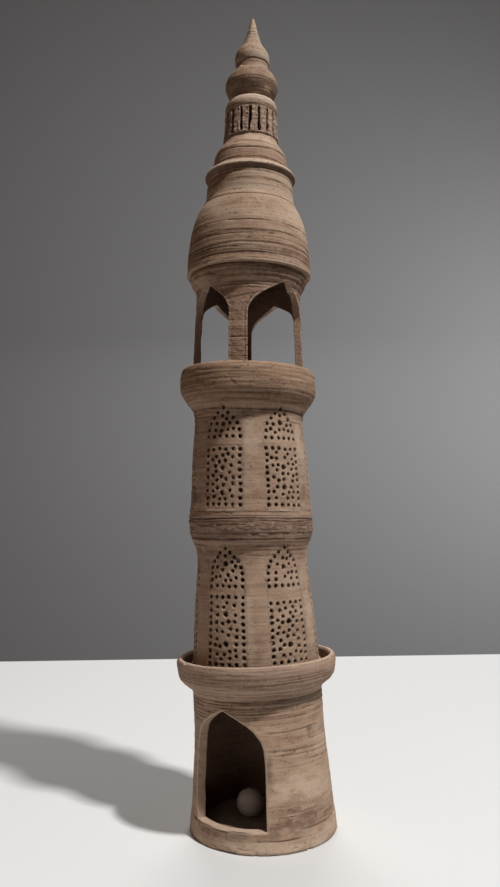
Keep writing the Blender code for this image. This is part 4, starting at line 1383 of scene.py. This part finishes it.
def bulb_marks(surface):
    outer_line(surface, 543.4, 0.5, 0.3, 0.7, broken=0.4)
    outer_line(surface, 536.4, 0.5, 0.2, 0.5, broken=0.6)
    outer_line(surface, 554.9, 0.4, 0.35, 0.6, broken=0.3)
    outer_drags(surface, 533.0, 554.0, 16, stain=0.5)
    # Painted shade: the underside, the front to the right and the whole left half are washed brown, and all below the
    # shoulder is stained darker.
    surface.wash_and_shade = np.maximum(surface.wash_and_shade, ramp(547.5 - surface.level, 0, 2.0))
    surface.stain = np.maximum(surface.stain, 0.35 * ramp(546.0 - surface.level, 0, 3))
    surface.wash_and_shade = np.maximum(surface.wash_and_shade, 0.95 * ramp(555.5 - surface.level, 0, 1.0) * ramp(60 - surface.azimuth, 0, 30))
    surface.wash_and_shade = np.maximum(surface.wash_and_shade, 0.95 * (surface.azimuth > 180))
    surface.stain = np.maximum(surface.stain, 0.25 * (surface.level < 553.5))
    # Painted highlight: a small lump on the left of the shoulder is worn pale.
    lit_lump = np.exp(-((turn_from(surface.azimuth, -35) * 0.24 / 1.6) ** 2 + ((surface.level - 554.8) / 1.0) ** 2))
    surface.relief += 1.2 * lit_lump
    surface.worn_and_lit = np.maximum(surface.worn_and_lit, lit_lump)
    # Painted light: a bump low on the right is left clear of the stain.
    bump = np.exp(-((turn_from(surface.azimuth, 40) * 0.28 / 4.2) ** 2 + ((surface.level - 535.2) / 2.6) ** 2))
    surface.relief += 1.3 * bump
    surface.stain *= 1 - 0.8 * bump


def finial_marks(surface):
    for level, depth, stain in ((590.2, 0.3, 0.4), (586.8, 0.45, 0.8), (584.6, 0.3, 0.6), (581.0, 0.3, 0.4)):
        outer_line(surface, level, 0.45, depth, stain, broken=0.4)
    outer_drags(surface, 566.0, 592.0, 12, stain=0.5)
    surface.patch(-40, 30, 26, 7, 0.7)
    # Painted shade: the neck under the drop is washed brown.
    surface.wash_and_shade = np.maximum(surface.wash_and_shade, 0.9 * ramp(562.4 - surface.level, 0, 0.4))
    lobe = np.exp(-((turn_from(surface.azimuth, 0) / 70.0) ** 2 + ((surface.level - 579.0) / 6.0) ** 2))
    surface.relief += 0.3 * lobe


thrown(
    "bead",
    [
        [(0.0, BEAD_TOP + 0.2), (15.4, BEAD_TOP + 0.2)],
        [(15.4, BEAD_TOP + 0.2), (17.6, 530.4), (19.3, 527.6), (19.9, 524.6), (19.7, 522.6), (18.9, FLUTES_TOP - 0.1)],
        [(18.9, FLUTES_TOP - 0.1), (0.0, FLUTES_TOP - 0.1)],
    ],
    bead_marks,
    spire_clay,
    ["bead_ring"],
    spacing=0.4,
    around=200,
    seed=190,
)
thrown(
    "bulb_turned",
    [
        [(0.0, BULB_TOP), (12.2, BULB_TOP)],
        [(12.2, BULB_TOP), (12.4, 555.8)],
        [
            (12.4, 555.8), (14.6, 554.4), (17.2, 551.4), (19.2, 547.6), (20.1, 543.9), (19.2, 540.0),
            (17.4, 536.2), (15.9, 533.4), (15.2, BEAD_TOP - 0.3),
        ],
        [(15.2, BEAD_TOP - 0.3), (0.0, BEAD_TOP - 0.3)],
    ],
    bulb_marks,
    spire_clay,
    ["bulb"],
    spacing=0.4,
    around=200,
    seed=200,
)
thrown(
    "finial_drop",
    [
        [
            (0.0, TIP), (0.9, TIP - 0.6), (1.8, 596.8), (2.8, 593.2), (4.6, 587.0), (6.2, 581.6), (7.3, 578.2),
            (9.0, 575.2), (11.5, 572.0), (12.8, 568.4), (13.2, 564.6), (12.9, 562.4),
        ],
        [(12.9, 562.4), (12.2, 561.7)],
        [(12.2, 561.7), (12.2, BULB_TOP - 0.2)],
        [(12.2, BULB_TOP - 0.2), (0.0, BULB_TOP - 0.2)],
    ],
    finial_marks,
    spire_clay,
    ["finial"],
    spacing=0.4,
    around=160,
    seed=210,
)


# The floor inside and the ball

def pebble():
    centre = (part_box("ball")[0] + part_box("ball")[1]) / 2
    rows, around, radius = 60, 90, 10.0
    polar = np.repeat(np.linspace(0.02, math.pi - 0.02, rows), around)
    azimuth = np.tile(np.arange(around) * 360.0 / around, rows)
    surface = Surface(azimuth, np.degrees(polar), 220, wobble=0.25, ridges=0.03, drag=0.0, grain=0.03)
    reach = radius - 0.25 + surface.relief * np.sin(polar)
    turn = np.radians(azimuth)
    points = np.column_stack(
        [reach * np.sin(polar) * np.sin(turn), -reach * np.sin(polar) * np.cos(turn), reach * np.cos(polar)]
    )
    points = np.vstack([points, [[0, 0, radius - 0.25]], [[0, 0, 0.25 - radius]]])
    column, beside = np.arange(around), (np.arange(around) + 1) % around
    grid = np.arange(rows - 1)[:, None] * around
    quads = np.stack([grid + column, grid + around + column, grid + around + beside, grid + beside], axis=-1)
    last = (rows - 1) * around
    top, bottom = rows * around, rows * around + 1
    caps = [
        np.stack([np.full(around, top), column, beside], axis=-1),
        np.stack([np.full(around, bottom), last + beside, last + column], axis=-1),
    ]
    zeros = np.zeros(len(points))
    stain = np.append(surface.stain, [0, 0]) * 0.6
    piece = write_mesh("pebble", points, [quads.reshape(-1, 4)] + caps, {"stain": stain, "worn_and_lit": zeros}, stone, ["ball"])
    flat = np.array([v.co for v in piece.data.vertices])
    shift = np.array(centre) - (flat.max(0) + flat.min(0)) / 2
    piece.data.transform(Matrix.Translation(Vector(shift)))
    return piece


pebble()


def floor_marks(surface):
    surface.stain = np.maximum(surface.stain, 0.25)


thrown(
    "chamber_floor",
    [
        [(0.0, 5.0), (44.0, 5.0), (44.9, 4.2), (44.9, 0.6)],
        [(44.9, 0.6), (44.3, 0.0)],
        [(44.3, 0.0), (0.0, 0.0)],
    ],
    floor_marks,
    dusty_clay,
    ["base_floor"],
    spacing=1.0,
    around=160,
    seed=230,
)


# The floor, the light and the camera

def stage_sheet(name, corners, colour, dim_from=None):
    """A flat sheet of one pale colour, which grows dim in front of a depth when that is given."""
    mesh = bpy.data.meshes.new(name)
    mesh.from_pydata(corners, [], [(0, 1, 2, 3)])
    material = bpy.data.materials.new(name)
    material.use_nodes = True
    shader = material.node_tree.nodes["Principled BSDF"]
    shader.inputs["Base Color"].default_value = (*colour, 1.0)
    shader.inputs["Roughness"].default_value = 0.9
    shader.inputs["Specular IOR Level"].default_value = 0.2
    if dim_from is not None:
        nodes, links = material.node_tree.nodes, material.node_tree.links
        depth = nodes.new("ShaderNodeSeparateXYZ")
        links.new(nodes.new("ShaderNodeTexCoord").outputs["Object"], depth.inputs["Vector"])
        fade = nodes.new("ShaderNodeMapRange")
        fade.interpolation_type = "SMOOTHSTEP"
        fade.inputs["From Min"].default_value = dim_from - 0.25
        fade.inputs["From Max"].default_value = dim_from
        links.new(depth.outputs["Y"], fade.inputs["Value"])
        blend = nodes.new("ShaderNodeMix")
        blend.data_type = "RGBA"
        links.new(fade.outputs["Result"], blend.inputs[0])
        blend.inputs[6].default_value = (*(0.2 * part for part in colour), 1.0)
        blend.inputs[7].default_value = (*colour, 1.0)
        links.new(blend.outputs[2], shader.inputs["Base Color"])
    mesh.materials.append(material)
    sheet = bpy.data.objects.new(name, mesh)
    bpy.context.scene.collection.objects.link(sheet)


def lamp(name, azimuth, elevation, distance, size, power, colour=(1.0, 1.0, 1.0), aim=(0.0, 0.0, 0.3)):
    """A square soft light that looks at the tower."""
    data = bpy.data.lights.new(name, "AREA")
    data.shape = "SQUARE"
    data.size = size
    data.energy = power
    data.color = colour
    light = bpy.data.objects.new(name, data)
    a, e = math.radians(azimuth), math.radians(elevation)
    way = Vector((math.sin(a) * math.cos(e), -math.cos(a) * math.cos(e), math.sin(e)))
    light.location = Vector(aim) + way * distance
    light.rotation_mode = "QUATERNION"
    light.rotation_quaternion = way.to_track_quat("Z", "Y")
    bpy.context.scene.collection.objects.link(light)


FLOOR_HALF = 0.66
BACKDROP = 2.6
stage_sheet(
    "pale_floor",
    [(x * FLOOR_HALF, y * FLOOR_HALF, -0.0004) for x, y in ((-1, -1), (1, -1), (1, 1), (-1, 1))],
    (0.67, 0.68, 0.69),
    dim_from=-0.2,
)
stage_sheet(
    "grey_backdrop",
    [(x, BACKDROP, z) for x, z in ((-3.2, -1.6), (3.2, -1.6), (3.2, 3.4), (-3.2, 3.4))],
    (0.3, 0.3, 0.31),
)
lamp("key", 47, 57, 2.4, 0.16, 72.0, (1.0, 0.975, 0.94))
lamp("door_fill", -40, 6, 0.8, 0.5, 0.6, (1.0, 0.84, 0.7), aim=(0.0, 0.0, 0.06))
lamp("side_fill", -75, 10, 1.6, 0.8, 1.1, (1.0, 0.62, 0.38), aim=(0.0, 0.0, 0.42))
lamp("back", 180, 40, 2.4, 1.2, 26.0, (1.0, 0.98, 0.95))
lamp("backdrop_wash", 40, 10, 1.5, 1.2, 14.0, aim=(0.5, BACKDROP, 0.4))

world = bpy.data.worlds.new("studio")
world.use_nodes = True
world.node_tree.nodes["Background"].inputs["Color"].default_value = (0.014, 0.01, 0.007, 1.0)
bpy.context.scene.world = world
bpy.context.scene.view_settings.view_transform = "Standard"

CAMERA = (-0.00565, -0.58707, 0.21953)
PITCH, ROLL = 5.0, 0.85
FOCAL_PIXELS, LONG_SIDE = 800.0, 887.0
camera_data = bpy.data.cameras.new("camera")
camera_data.sensor_width = 36.0
camera_data.lens = FOCAL_PIXELS / LONG_SIDE * camera_data.sensor_width
camera_data.clip_start, camera_data.clip_end = 0.05, 50.0
camera = bpy.data.objects.new("camera", camera_data)
camera.matrix_world = (
    Matrix.Translation(CAMERA)
    @ Matrix.Rotation(math.radians(90.0 + PITCH), 4, "X")
    @ Matrix.Rotation(math.radians(-ROLL), 4, "Z")
)
bpy.context.scene.collection.objects.link(camera)
bpy.context.scene.camera = camera
